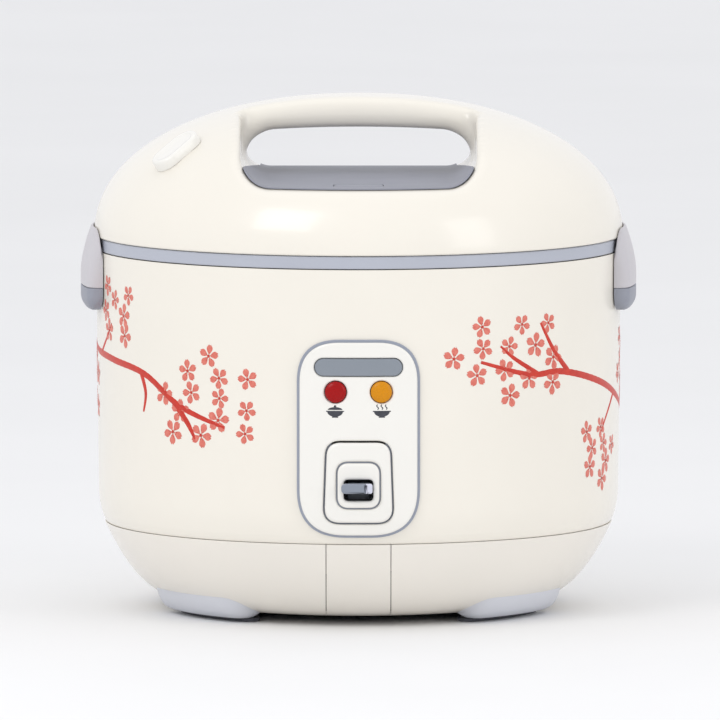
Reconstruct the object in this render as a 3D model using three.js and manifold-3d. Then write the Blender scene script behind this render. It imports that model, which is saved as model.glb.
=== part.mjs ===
// A ten-cup rice cooker: a drum-shaped body on a bowl-shaped base, with a domed lid whose strap handle bridges a
// grey finger well. Millimetres, +Z up, the front faces -Y. Everything is drawn with the ground at z = 0 and the
// pot's axis at x = y = 0, and the finished group is moved along Y to centre it.
import * as THREE from 'three';
import { mergeVertices } from 'three/addons/utils/BufferGeometryUtils.js';
import Module from 'manifold-3d';

const wasm = await Module();
wasm.setup();

// ---- Driving dimensions ------------------------------------------------------------------------------------------

const GAP = 0.3;                 // clearance between pieces that touch
const FINE = 48;                 // segments round a large outer shell
const INNER = 24;                // segments round a large inner piece
const COARSE = 16;               // segments round a small turned piece

const BODY_RADIUS = 138.8;       // casing radius just above its lower edge
const BODY_FLARE = 1.2;          // how much wider the casing is at its top
const CASING_BOTTOM = 47;
const CASING_CURVE_TOP = 65;     // the casing tucks in below this height
const CASING_TUCK = 3.3;
const CASING_TOP = 192;
const CASING_WALL = 2.4;

const BASE_TOP = 46.6;
const BASE_BOTTOM = 4;
const BASE_RIM = 135.5;          // bowl radius at its top
const BASE_FLAT = 80;            // bowl radius where it turns flat
const BASE_POWER = 2.9;          // how suddenly the bowl turns up
const BASE_WALL = 2.4;
const BASE_HOLE = 76;
const STRIP_HALF_WIDTH = 16.9;   // front strip of the base

const FOOT_START = 31;           // degrees from the front or the rear
const FOOT_END = 79;
const FOOT_INNER = 84;
const FOOT_OUTER = 111;
const FOOT_BOTTOM = 2;
const FOOT_TOP = 20;
const FOOT_LEAN = 3;             // how far the foot's outer face leans out above FOOT_OUTER
const SOLE_INSET = 8;            // how far the sole's edge lies inside FOOT_OUTER
const PAD_INSET = 3.5;
const PAD_TOP = 1.7;

const LID_RADIUS = 141;
const LID_HEIGHT = 75;
const LID_POWER = 2.15;          // superellipse power of the dome
const LID_BOTTOM = 199.4;
const LID_WALL = 2.6;

const WELL_HALF_WIDTH = 61.5;    // finger well under the strap
const WELL_FLOOR = 233.9;
const WELL_CORNER = 15;
const WELL_CREST = 40;           // the floor falls to the rear behind this
const WELL_FALL = 8;             // degrees
const TRAY_WALL = 2.4;
const TRAY_DEPTH = 9;            // how far the grey tray reaches up the well's sides
const STRAP_HALF_DEPTH = 21;
const STRAP_UNDERSIDE = 257;
const STRAP_CORNER = 18;

const RIM_TOP = 199.1;
const RIM_RADIUS = 139.8;
const RIM_MOUTH = 116.6;
const RIM_LEDGE_INNER = 112.3;
const RIM_LEDGE = 189.6;

const POT_RADIUS = 107.5;
const POT_WALL = 1.5;
const POT_BOTTOM = 62;
const POT_FLANGE = 115.2;
const POT_TOP = 191.5;

const SHIELD = { radius: 112, bottom: 38, top: 187.5, flange: 136.4, hole: 24, wall: 1.5, chamfer: 12 };
const HEATER_TOP = POT_BOTTOM - GAP;
const HEATER_BOTTOM = 51.5;
const HEATER_RADIUS = 88;
const THERMOSTAT_RADIUS = 18.5;

const PANEL = { halfWidth: 31, bottom: 52, top: 154, topCorner: 21, bottomCorner: 24, raise: 3.6 };
const PLINTH = { halfWidth: 18, halfWidthTop: 16.5, bottom: 59, top: 101.3, corner: 7, raise: 5.4 };
const BEZEL = { halfWidth: 11, bottom: 67, top: 90.6, corner: 6, raise: 6.6 };
const SLOT = { halfWidth: 7.8, bottom: 70.6, top: 82 };
const NAME_PLATE = { halfWidth: 23, halfHeight: 4.5, z: 141 };
const LAMP_X = 12;
const LAMP_Z = 128;
const LENS_RADIUS = 5.6;

const LEVER_PIVOT = { y: -70, z: 30 };
const LEVER_TIP = -151;
const LEVER_HALF_WIDTH = 6;
const TAB_Z = 77.7;
const TAB_THICKNESS = 4.5;

const HINGE = { y: 146.5, z: 199 };
const HINGE_PIN_RADIUS = 2;
const KNUCKLE_RADIUS = 5.8;
const KNUCKLE_HALF_WIDTH = 19.5;
const HINGE_HALF_WIDTH = 33;

const BUTTON = { y: -105, halfX: 13, halfY: 7, travel: 3 };
const LATCH = { y: -128, z: 211, halfWidth: 5 };
const CATCH_FRONT = -126.1;

const VENT = { x: -95.6, y: -60, halfLength: 14.5, halfWidth: 8.8, raise: 5 };
const VENT_PLUG = { halfLength: 10, halfWidth: 5, depth: 9 };
const DUCT = { bore: 4.5, wall: 1.6, footRadius: 92, foot: 200.1 };

const GRIP = { halfWidth: 38, bottom: 161.4, top: 204.6, split: 173.6, reach: 148.2, wall: 2.6, pocketTop: 181 };
const INLET = { halfWidth: 20, bottom: 63, top: 91, back: 118, face: 142, wall: 3, pinX: 6.5 };
const DEW = { halfWidth: 30, bottom: 150, top: 181, rear: 160, wall: 1.8 };

// ---- Solid helpers -----------------------------------------------------------------------------------------------

// A closed three.js geometry as a solid, whichever way round its faces were wound.
function solid(geometry) {
  const bare = geometry.clone();
  bare.deleteAttribute('normal');
  bare.deleteAttribute('uv');
  const merged = mergeVertices(bare, 1e-4);
  const vertices = merged.attributes.position.array;
  const triangles = [];
  let volume = 0;
  const index = merged.index.array;
  for (let i = 0; i < index.length; i += 3) {
    const [a, b, c] = [index[i], index[i + 1], index[i + 2]];
    if (a === b || b === c || c === a) continue;
    triangles.push([a, b, c]);
    const [p, q, r] = [a, b, c].map((k) => new THREE.Vector3().fromArray(vertices, 3 * k));
    volume += p.dot(q.cross(r));
  }
  const wound = volume > 0 ? triangles : triangles.map(([a, b, c]) => [a, c, b]);
  return new wasm.Manifold(new wasm.Mesh({
    numProp: 3,
    vertProperties: Float32Array.from(vertices),
    triVerts: Uint32Array.from(wound.flat()),
  }));
}

function geometryOf(body) {
  const mesh = body.getMesh();
  const geometry = new THREE.BufferGeometry();
  geometry.setAttribute('position', new THREE.BufferAttribute(mesh.vertProperties, 3));
  geometry.setIndex(new THREE.BufferAttribute(mesh.triVerts, 1));
  return geometry;
}

// A body of revolution about Z from [radius, height] points.
function turned(points, segments = FINE) {
  const profile = points.map(([r, z]) => new THREE.Vector2(r, z));
  const closed = profile[0].x > 0 || profile.at(-1).x > 0;
  if (closed) profile.push(profile[0].clone());
  return solid(new THREE.LatheGeometry(profile, segments).rotateX(Math.PI / 2));
}

function box(xMin, xMax, yMin, yMax, zMin, zMax) {
  const geometry = new THREE.BoxGeometry(xMax - xMin, yMax - yMin, zMax - zMin);
  return solid(geometry.translate((xMin + xMax) / 2, (yMin + yMax) / 2, (zMin + zMax) / 2));
}

// A cylinder from one point along a unit axis.
function rod(radius, from, axis, length, segments = COARSE) {
  const geometry = new THREE.CylinderGeometry(radius, radius, length, segments).translate(0, length / 2, 0);
  const turn = new THREE.Quaternion().setFromUnitVectors(new THREE.Vector3(0, 1, 0), axis);
  return solid(geometry.applyQuaternion(turn).translate(from.x, from.y, from.z));
}

const X_AXIS = new THREE.Vector3(1, 0, 0);
const Y_AXIS = new THREE.Vector3(0, 1, 0);
const Z_AXIS = new THREE.Vector3(0, 0, 1);
const at = (x, y, z) => new THREE.Vector3(x, y, z);

// An outline in the XZ plane, extruded along Y.
function alongY(shape, yMin, yMax, curveSegments = 5) {
  const geometry = new THREE.ExtrudeGeometry(shape, { depth: yMax - yMin, bevelEnabled: false, curveSegments });
  return solid(geometry.rotateX(Math.PI / 2).translate(0, yMax, 0));
}

// An outline in the XY plane, extruded up.
function alongZ(shape, zMin, zMax, curveSegments = 5) {
  const geometry = new THREE.ExtrudeGeometry(shape, { depth: zMax - zMin, bevelEnabled: false, curveSegments });
  return solid(geometry.translate(0, 0, zMin));
}

// A rounded outline that may be narrower at its top, grown by a margin on every side.
function roundedShape({ halfWidth, halfWidthTop = halfWidth, bottom, top, corner, topCorner = corner,
  bottomCorner = corner }, grow = 0) {
  const [w, v, low, high] = [halfWidth + grow, halfWidthTop + grow, bottom - grow, top + grow];
  const [c, d] = [topCorner + grow, bottomCorner + grow];
  const lean = (w - v) / (high - low);
  const shape = new THREE.Shape();
  shape.moveTo(-w + d, low);
  shape.lineTo(w - d, low);
  shape.quadraticCurveTo(w, low, w - lean * d, low + d);
  shape.lineTo(v + lean * c, high - c);
  shape.quadraticCurveTo(v, high, v - c, high);
  shape.lineTo(-v + c, high);
  shape.quadraticCurveTo(-v, high, -v - lean * c, high - c);
  shape.lineTo(-w + lean * d, low + d);
  shape.quadraticCurveTo(-w, low, -w + d, low);
  return shape;
}

// A pill with its long axis along X.
function pillShape(halfLength, halfWidth, cx = 0, cy = 0) {
  const shape = new THREE.Shape();
  const straight = halfLength - halfWidth;
  shape.absarc(cx + straight, cy, halfWidth, -Math.PI / 2, Math.PI / 2, false);
  shape.absarc(cx - straight, cy, halfWidth, Math.PI / 2, 1.5 * Math.PI, false);
  shape.closePath();
  return shape;
}

const union = (...bodies) => bodies.reduce((sum, body) => sum.add(body));

// ---- Shared surfaces ---------------------------------------------------------------------------------------------

function casingRadius(z) {
  const flare = (BODY_FLARE * (z - CASING_CURVE_TOP)) / (CASING_TOP - CASING_CURVE_TOP);
  const depth = Math.max(0, (CASING_CURVE_TOP - z) / (CASING_CURVE_TOP - CASING_BOTTOM));
  return BODY_RADIUS + flare - CASING_TUCK * depth ** 2;
}

const CASING_HEIGHTS = [CASING_BOTTOM, 50, 54, 59, CASING_CURVE_TOP, 128, CASING_TOP];

// The casing's outer surface moved out by a distance, as a filled drum.
function casingDrum(offset, heights = CASING_HEIGHTS) {
  const side = heights.map((z) => [casingRadius(z) + offset, z]);
  return turned([[0, heights[0]], ...side, [0, heights.at(-1)]]);
}

function bowlHeight(r) {
  const share = Math.max(0, (r - BASE_FLAT) / (BASE_RIM - BASE_FLAT));
  return BASE_BOTTOM + (BASE_TOP - BASE_BOTTOM) * share ** BASE_POWER;
}

const BOWL_STEPS = 7;

// [radius, height] points up the bowl, moved out by a distance.
function bowlProfile(offset) {
  const points = [];
  for (let i = 0; i <= BOWL_STEPS; i += 1) {
    const share = Math.sin((i / BOWL_STEPS) * (Math.PI / 2));
    const r = BASE_FLAT + (BASE_RIM - BASE_FLAT) * share;
    const slope = Math.atan((bowlHeight(r + 0.01) - bowlHeight(r - 0.01)) / 0.02);
    points.push([r + offset * Math.sin(slope), bowlHeight(r) - offset * Math.cos(slope)]);
  }
  points[points.length - 1][1] = BASE_TOP;
  return points;
}

const DOME_STEPS = 12;

// The dome moved in by a distance, as a filled solid that starts at a height above the lid's edge.
function domeSolid(inset = 0, drop = 0) {
  const [a, b] = [LID_RADIUS - inset, LID_HEIGHT - inset];
  const points = [[0, LID_BOTTOM - drop], [a, LID_BOTTOM - drop]];
  for (let i = drop > 0 ? 0 : 1; i <= DOME_STEPS; i += 1) {
    const angle = (i / DOME_STEPS) * (Math.PI / 2);
    const r = a * Math.cos(angle) ** (2 / LID_POWER);
    points.push([i === DOME_STEPS ? 0 : r, LID_BOTTOM + b * Math.sin(angle) ** (2 / LID_POWER)]);
  }
  return turned(points);
}

function domeHeight(r) {
  return LID_BOTTOM + LID_HEIGHT * (1 - (r / LID_RADIUS) ** LID_POWER) ** (1 / LID_POWER);
}

// ---- Base --------------------------------------------------------------------------------------------------------

function baseShell() {
  const outer = bowlProfile(0);
  const inner = bowlProfile(-BASE_WALL).reverse();
  const flange = [[BASE_HOLE, BASE_BOTTOM + BASE_WALL], [BASE_HOLE, BASE_BOTTOM]];
  return turned([...outer, ...inner, ...flange]);
}

const stripBox = (grow) => box(-STRIP_HALF_WIDTH - grow, STRIP_HALF_WIDTH + grow, -BASE_RIM - 10,
  -BASE_FLAT - 6 + grow, 0, BASE_TOP + 5);

const baseHousing = () => baseShell().subtract(stripBox(GAP + 0.1));
const baseFrontPanel = () => baseShell().intersect(stripBox(0));

const SCREW = { radius: 1.5, headRadius: 3.4, head: 2.4, shoulder: 3.9, tip: 15, circle: 66 };
const COVER = { bottom: 4.2, step: 6.8, top: 9, lap: 3.5 };
const AIR_SLOT = { halfLength: 13, halfWidth: 2, columns: [-24, -8, 8, 24], rows: [-38, 38] };

// The plate under the base: it drops through the base's hole and laps over its edge from inside.
function bottomCover() {
  const { bottom, step, top, lap } = COVER;
  const disc = turned([[0, bottom], [BASE_HOLE - GAP, bottom], [BASE_HOLE - GAP, step], [BASE_HOLE + lap, step],
    [BASE_HOLE + lap, top], [0, top]]);
  const slot = alongZ(pillShape(AIR_SLOT.halfLength, AIR_SLOT.halfWidth), 0, 20, 4).rotate([0, 0, 90]);
  const slots = AIR_SLOT.columns.flatMap((x) => AIR_SLOT.rows.map((y) => slot.translate([x, y, 0])));
  const holes = [-1, 1].map((side) => rod(SCREW.radius + GAP, at(side * SCREW.circle, 0, 0), Z_AXIS, 20, 12));
  return disc.subtract(union(...slots, ...holes));
}

function baseScrew(side) {
  const { radius, headRadius, head, shoulder, tip, circle } = SCREW;
  const screw = turned([[0, head], [headRadius, head], [headRadius, shoulder], [radius, shoulder], [radius, tip],
    [0, tip]], COARSE);
  return screw.translate([side * circle, 0, 0]);
}

// A bent bar with round ends between two angles (degrees from -Y towards +X) and two radii.
function arcBar(innerRadius, outerRadius, fromDegrees, toDegrees, zMin, zMax) {
  const [middle, half] = [(innerRadius + outerRadius) / 2, (outerRadius - innerRadius) / 2];
  const ends = (half / middle) * THREE.MathUtils.RAD2DEG;
  const [from, to] = [fromDegrees + ends, toDegrees - ends].map((d) => THREE.MathUtils.degToRad(d - 90));
  const shape = new THREE.Shape();
  shape.absarc(0, 0, outerRadius, from, to, false);
  shape.absarc(middle * Math.cos(to), middle * Math.sin(to), half, to, to + Math.PI, false);
  shape.absarc(0, 0, innerRadius, to, from, true);
  shape.absarc(middle * Math.cos(from), middle * Math.sin(from), half, from + Math.PI, from + 2 * Math.PI, false);
  return alongZ(shape, zMin, zMax, 6);
}

const FEET = {
  front_right: [FOOT_START, FOOT_END],
  rear_right: [180 - FOOT_END, 180 - FOOT_START],
  rear_left: [180 + FOOT_START, 180 + FOOT_END],
  front_left: [360 - FOOT_END, 360 - FOOT_START],
};

// A foot whose outer face leans out to meet the bowl.
function foot([from, to]) {
  const widest = FOOT_OUTER + FOOT_LEAN;
  const sole = FOOT_OUTER - SOLE_INSET;
  const ring = turned([[FOOT_INNER, FOOT_BOTTOM], [sole, FOOT_BOTTOM], [sole + 4, FOOT_BOTTOM + 2],
    [FOOT_OUTER, FOOT_TOP / 2], [widest, FOOT_TOP], [FOOT_INNER, FOOT_TOP]]);
  const above = bowlProfile(GAP);
  const bowl = turned([[0, above[0][1]], ...above, [0, BASE_TOP]]);
  return ring.intersect(arcBar(FOOT_INNER, widest, from, to, 0, FOOT_TOP + 10)).subtract(bowl);
}

const footPad = ([from, to]) => arcBar(FOOT_INNER + PAD_INSET, FOOT_OUTER - SOLE_INSET - PAD_INSET, from + 4, to - 4,
  0, PAD_TOP);

// ---- Body --------------------------------------------------------------------------------------------------------

const panelPrism = (outline, grow = 0) => alongY(roundedShape(outline, grow), -160, -100);

function outerCasing() {
  const shell = casingDrum(0).subtract(casingDrum(-CASING_WALL, [CASING_BOTTOM - 5, ...CASING_HEIGHTS.slice(1, -1),
    CASING_TOP + 5]));
  const window = panelPrism({ halfWidth: 21, bottom: 62, top: 146, corner: 8 });
  const inletHole = box(-INLET.halfWidth - GAP, INLET.halfWidth + GAP, 100, 160, INLET.bottom - GAP,
    INLET.top + GAP);
  return shell.subtract(window).subtract(inletHole);
}

// The band between casing and lid, with a shelf over the casing and a ledge inside that carries the pot.
function topRim() {
  const wall = 2;
  const [shelf, skirt] = [RIM_TOP - wall, RIM_RADIUS - 2.4];
  const ring = turned([[RIM_LEDGE_INNER, RIM_LEDGE - 1.8], [RIM_MOUTH + wall, RIM_LEDGE - 1.8],
    [RIM_MOUTH + wall, shelf], [skirt, shelf], [skirt, CASING_TOP + GAP], [RIM_RADIUS, CASING_TOP + GAP],
    [RIM_RADIUS, RIM_TOP], [RIM_MOUTH, RIM_TOP], [RIM_MOUTH, RIM_LEDGE], [RIM_LEDGE_INNER, RIM_LEDGE]]);
  const hookSlot = box(-LATCH.halfWidth - 1.5, LATCH.halfWidth + 1.5, -135, CATCH_FRONT, 190, 210);
  return ring.subtract(hookSlot);
}

const latchCatch = () => box(-9, 9, CATCH_FRONT, -121, 192.5, 196.8);

function heatShield() {
  const { radius: r, bottom, top, flange, hole, wall, chamfer } = SHIELD;
  return turned([[hole, bottom], [r - chamfer, bottom], [r, bottom + chamfer], [r, top - wall],
    [flange, top - wall], [flange, top], [r - wall, top], [r - wall, bottom + chamfer + 0.6],
    [r - chamfer - 0.6, bottom + wall], [hole, bottom + wall]], INNER);
}

function innerPot() {
  const [r, w, b] = [POT_RADIUS, POT_WALL, POT_BOTTOM];
  const bend = 18;
  const outer = [];
  const inner = [];
  for (let i = 0; i <= 4; i += 1) {
    const angle = (i / 4) * (Math.PI / 2);
    outer.push([r - bend + bend * Math.sin(angle), b + bend - bend * Math.cos(angle)]);
    inner.unshift([r - bend + (bend - w) * Math.sin(angle), b + bend - (bend - w) * Math.cos(angle)]);
  }
  return turned([[0, b], ...outer, [r, POT_TOP - 1.6], [POT_FLANGE, POT_TOP - 1.6], [POT_FLANGE, POT_TOP],
    [r - w, POT_TOP], ...inner, [0, b + w]], INNER);
}

function heaterPlate() {
  return turned([[20, HEATER_BOTTOM], [HEATER_RADIUS, HEATER_BOTTOM], [HEATER_RADIUS, HEATER_TOP - 1.5],
    [HEATER_RADIUS - 1.5, HEATER_TOP], [20, HEATER_TOP]], INNER);
}

class ArcCurve extends THREE.Curve {
  constructor(radius, from, to, z) {
    super();
    Object.assign(this, { radius, from, to, z });
  }

  getPoint(t, target = new THREE.Vector3()) {
    const angle = this.from + (this.to - this.from) * t;
    return target.set(this.radius * Math.cos(angle), this.radius * Math.sin(angle), this.z);
  }
}

function heatingElement() {
  const radius = 3.8;
  const section = new THREE.Shape().absarc(0, 0, radius, 0, 2 * Math.PI, false);
  const path = new ArcCurve(62, THREE.MathUtils.degToRad(110), THREE.MathUtils.degToRad(430),
    HEATER_BOTTOM - radius - GAP);
  return solid(new THREE.ExtrudeGeometry(section, { steps: 28, extrudePath: path, curveSegments: 4 }));
}

function heaterPost(number) {
  const angle = THREE.MathUtils.degToRad(90 + 120 * number);
  const low = SHIELD.bottom + SHIELD.wall + GAP;
  return rod(4, at(78 * Math.cos(angle), 78 * Math.sin(angle), low), Z_AXIS, HEATER_BOTTOM - GAP - low, 16);
}

function thermostatCap() {
  const r = THERMOSTAT_RADIUS;
  return turned([[0, 55.5], [r - 1.5, 55.5], [r - 1.5, 48], [r, 48], [r, HEATER_TOP - 1], [r - 1, HEATER_TOP],
    [0, HEATER_TOP]], INNER);
}

function magnetPlunger() {
  return turned([[0, 34.3], [3, 34.3], [3, 40], [9, 40], [9, 49], [0, 49]], COARSE);
}

const LEVER_PIN_RADIUS = 2;

// The arm runs under the pot to the front, steps up in front of the heater's jacket and ends in the finger tab.
function switchLever() {
  const w = LEVER_HALF_WIDTH;
  const arm = box(-w, w, -118, 10, 31, 34);
  const step = box(-w, w, -118, -115, 31, 43);
  const shelf = box(-w, w, -127, -115, 40, 43);
  const riser = box(-w, w, -127, -124, 40, TAB_Z + TAB_THICKNESS / 2);
  const tab = box(-w, w, LEVER_TIP + 1, -124, TAB_Z - TAB_THICKNESS / 2, TAB_Z + TAB_THICKNESS / 2);
  const headHalf = TAB_THICKNESS / 2 + 0.4;
  const head = box(-w - 3, w + 1.2, LEVER_TIP, LEVER_TIP + 3.8, TAB_Z - headHalf, TAB_Z + headHalf);
  const hub = rod(4.5, at(-w, LEVER_PIVOT.y, LEVER_PIVOT.z), X_AXIS, 2 * w);
  const bore = rod(LEVER_PIN_RADIUS + 0.2, at(-20, LEVER_PIVOT.y, LEVER_PIVOT.z), X_AXIS, 40);
  return union(arm, step, shelf, riser, tab, head, hub).subtract(bore);
}

function leverBracket() {
  const { y, z } = LEVER_PIVOT;
  const floor = box(-13, 13, y - 12, y + 12, COVER.top + GAP, COVER.top + 3);
  const cheeks = [-1, 1].map((side) => {
    const [near, far] = [side * (LEVER_HALF_WIDTH + 1), side * (LEVER_HALF_WIDTH + 3.5)];
    return box(Math.min(near, far), Math.max(near, far), y - 7, y + 7, COVER.top + 1, z + 6);
  });
  return union(floor, ...cheeks).subtract(rod(LEVER_PIN_RADIUS + 0.2, at(-20, y, z), X_AXIS, 40));
}

const leverPin = () => rod(LEVER_PIN_RADIUS, at(-11, LEVER_PIVOT.y, LEVER_PIVOT.z), X_AXIS, 22);
const microswitch = () => box(14, 24, LEVER_PIVOT.y - 10, LEVER_PIVOT.y + 10, COVER.top + GAP, 25);

// ---- Front panel -------------------------------------------------------------------------------------------------

const pill = (grow) => pillShape(NAME_PLATE.halfWidth + grow, NAME_PLATE.halfHeight + grow, 0, NAME_PLATE.z);

// What lies between two distances outside the casing's surface.
const layer = (body, low, high) => body.intersect(casingDrum(high)).subtract(casingDrum(low));

function lensHole(side) {
  return rod(LENS_RADIUS + GAP, at(side * LAMP_X, -160, LAMP_Z), Y_AXIS, 60);
}

function controlPanel() {
  const plate = layer(panelPrism(PANEL), GAP, PANEL.raise);
  const recess = alongY(pill(GAP), -160, -100).subtract(casingDrum(PANEL.raise - 1.3));
  return plate.subtract(recess).subtract(lensHole(-1)).subtract(lensHole(1)).subtract(panelPrism(PLINTH, GAP));
}

const namePlate = () => layer(alongY(pill(0), -160, -100), PANEL.raise - 1, PANEL.raise + 0.3);
const switchPlinth = () => layer(panelPrism(PLINTH), GAP, PLINTH.raise).subtract(panelPrism(BEZEL, GAP));

function switchBezel() {
  const opening = alongY(roundedShape({ ...SLOT, corner: 2.5 }), -160, -100);
  return layer(panelPrism(BEZEL), GAP, BEZEL.raise).subtract(opening);
}

function lampLens(side) {
  const dome = turned([[0, -6.5], [LENS_RADIUS, -6.5], [LENS_RADIUS, 0], [LENS_RADIUS * 0.86, 1],
    [LENS_RADIUS * 0.5, 1.7], [0, 2]], COARSE);
  return dome.rotate([90, 0, 0]).translate([side * LAMP_X, -casingRadius(LAMP_Z) - PANEL.raise + 0.4, LAMP_Z]);
}

const BOARD_FRONT = -132;
const lampBoard = () => box(-22, 22, BOARD_FRONT, BOARD_FRONT + 1.6, 106, 142);
const lampBulb = (side) => rod(2.5, at(side * LAMP_X, BOARD_FRONT - 3.8, LAMP_Z), Y_AXIS, 3.5, 16);

// ---- Side grips --------------------------------------------------------------------------------------------------

// The whole grip: a cushion on the casing's side, hollow below for the fingers, whose top thins to a lip that
// stands just outside the lid's edge.
function gripBody(side) {
  const { halfWidth, bottom, top, reach, wall, pocketTop } = GRIP;
  const [casingFit, lidFit] = [BODY_RADIUS + BODY_FLARE + 0.5, LID_RADIUS + 0.5];
  const ring = turned([[138, bottom], [reach - 1.6, bottom], [reach, bottom + 4], [reach, 181], [reach - 0.8, 187],
    [reach - 2.6, 193.5], [reach - 4.4, 199.4], [lidFit + 1.1, top], [138, top]]);
  const outline = roundedShape({ halfWidth, bottom, top, corner: 10, topCorner: 14 });
  const prism = alongY(outline, 0, 170).rotate([0, 0, -90 * side]);
  const fingers = turned([[0, bottom - 5], [reach - wall, bottom - 5], [reach - wall, pocketTop], [0, pocketTop]]);
  const pocket = fingers.intersect(box(130, 160, -halfWidth + 8, halfWidth - 8, 150, 190));
  const inside = turned([[0, bottom - 5], [casingFit, bottom - 5], [casingFit, RIM_TOP - 1], [lidFit, RIM_TOP - 1],
    [lidFit, top + 5], [0, top + 5]]);
  return ring.intersect(prism).subtract(inside).subtract(side > 0 ? pocket : pocket.rotate([0, 0, 180]));
}

const sideGrip = (side) => gripBody(side).intersect(box(-200, 200, -60, 60, GRIP.split, 210));
const gripPad = (side) => gripBody(side).intersect(box(-200, 200, -60, 60, 150, GRIP.split - GAP));

// ---- Rear --------------------------------------------------------------------------------------------------------

const pinBore = () => rod(HINGE_PIN_RADIUS + 0.2, at(-50, HINGE.y, HINGE.z), X_AXIS, 100);

// A block on the rim's rear with two ears that hold the pin, open between them for the lid's knuckle.
function hingeBracket() {
  const { y, z } = HINGE;
  const inner = KNUCKLE_HALF_WIDTH + 0.5;
  const block = box(-HINGE_HALF_WIDTH, HINGE_HALF_WIDTH, 130, y + 3, 185.5, z - 0.2);
  const ears = [inner, -HINGE_HALF_WIDTH].map((x) => rod(KNUCKLE_RADIUS, at(x, y, z), X_AXIS,
    HINGE_HALF_WIDTH - inner));
  const middle = box(-inner, inner, 120, 170, z - KNUCKLE_RADIUS - 0.5, 220);
  const drum = turned([[0, 180], [RIM_RADIUS + 0.5, 180], [RIM_RADIUS + 0.5, 210], [0, 210]]);
  const lidSweep = box(-50, 50, 120, y - KNUCKLE_RADIUS + 0.3, 190, 220);
  return union(block, ...ears).subtract(union(middle, drum, pinBore(), lidSweep));
}

const hingePin = () => rod(HINGE_PIN_RADIUS, at(-HINGE_HALF_WIDTH + 0.5, HINGE.y, HINGE.z), X_AXIS,
  2 * HINGE_HALF_WIDTH - 1);

function powerInlet() {
  const { halfWidth, bottom, top, back, face, wall, pinX } = INLET;
  const frame = box(-halfWidth, halfWidth, back, face, bottom, top);
  const cavity = box(-halfWidth + wall, halfWidth - wall, back + wall + 1, face + 5, bottom + wall, top - wall);
  const pinHoles = [-1, 1].map((side) => rod(2.3, at(side * pinX, back - 5, (bottom + top) / 2), Y_AXIS, 20));
  return frame.subtract(union(cavity, ...pinHoles));
}

const inletPin = (side) => rod(2, at(side * INLET.pinX, INLET.back - 3, (INLET.bottom + INLET.top) / 2), Y_AXIS, 19);

function dewCollector() {
  const { halfWidth, bottom, top, rear, wall } = DEW;
  const outline = (inset) => {
    const shape = new THREE.Shape();
    const [w, back] = [halfWidth - inset, rear - inset];
    shape.moveTo(-w, 120);
    shape.lineTo(w, 120);
    shape.lineTo(w, back - 10);
    shape.quadraticCurveTo(w, back, w - 12, back);
    shape.lineTo(-w + 12, back);
    shape.quadraticCurveTo(-w, back, -w, back - 10);
    return shape;
  };
  const front = (offset) => turned([[0, 140], [casingRadius(top) + offset, 140], [casingRadius(top) + offset, 190],
    [0, 190]]);
  const outer = alongZ(outline(0), bottom, top).subtract(front(0.5));
  const inner = alongZ(outline(wall), bottom + wall, top + 5).subtract(front(0.5 + wall));
  return outer.subtract(inner);
}

// ---- Lid ---------------------------------------------------------------------------------------------------------

// An outline swept along the well: level under and in front of the strap, falling to the rear behind the crest.
function alongWell(outline) {
  const flat = alongY(outline, -170, WELL_CREST, 6);
  const slope = alongY(outline, -12, 170, 6).translate([0, 0, -WELL_FLOOR]).rotate([-WELL_FALL, 0, 0])
    .translate([0, WELL_CREST, WELL_FLOOR]);
  return flat.add(slope);
}

// The open finger well as a solid.
const wellSolid = (grow) => alongWell(roundedShape({ halfWidth: WELL_HALF_WIDTH, bottom: WELL_FLOOR,
  top: WELL_FLOOR + 80, corner: WELL_CORNER, topCorner: 1 }, grow));

// Everything under the tray's upper edge.
const belowTrayEdge = (grow) => alongWell(roundedShape({ halfWidth: 100, bottom: WELL_FLOOR - 60,
  top: WELL_FLOOR + TRAY_DEPTH + grow, corner: 1 }));

// The well's lining: the space round it, up to the dome.
const wellLining = () => wellSolid(TRAY_WALL).subtract(wellSolid(0)).intersect(domeSolid(0));

function strapSolid(grow) {
  const half = WELL_HALF_WIDTH + 8 + grow;
  const block = box(-half, half, -STRAP_HALF_DEPTH - grow, STRAP_HALF_DEPTH + grow, WELL_FLOOR - 4 - grow, 300);
  const arch = alongY(roundedShape({ halfWidth: WELL_HALF_WIDTH - grow, bottom: WELL_FLOOR - 40,
    top: STRAP_UNDERSIDE - grow, corner: 1, topCorner: STRAP_CORNER }), -60, 60, 8);
  return block.subtract(arch);
}

// How a frame stands on the dome under the vent cap: its X runs down the meridian and its Z out of the dome.
function ventPose() {
  const r = Math.hypot(VENT.x, VENT.y);
  const slope = Math.atan((domeHeight(r - 0.01) - domeHeight(r + 0.01)) / 0.02);
  return { tilt: slope, heading: Math.atan2(VENT.y, VENT.x), z: domeHeight(r) };
}

function ontoVent(piece) {
  const { tilt, heading, z } = ventPose();
  const [tiltDegrees, headingDegrees] = [tilt, heading].map(THREE.MathUtils.radToDeg);
  return piece.rotate([0, tiltDegrees, 0]).rotate([0, 0, headingDegrees]).translate([VENT.x, VENT.y, z]);
}

// The point at a depth under the middle of the vent cap.
function underVent(depth) {
  const { tilt, heading, z } = ventPose();
  const out = at(Math.sin(tilt) * Math.cos(heading), Math.sin(tilt) * Math.sin(heading), Math.cos(tilt));
  return at(VENT.x, VENT.y, z).addScaledVector(out, -depth);
}

// A pill under the vent cap, grown from the plug's outline, between two heights over the dome.
const ventPill = (grow, low, high) => ontoVent(alongZ(pillShape(VENT_PLUG.halfLength + grow,
  VENT_PLUG.halfWidth + grow), low, high, 6));

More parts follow.
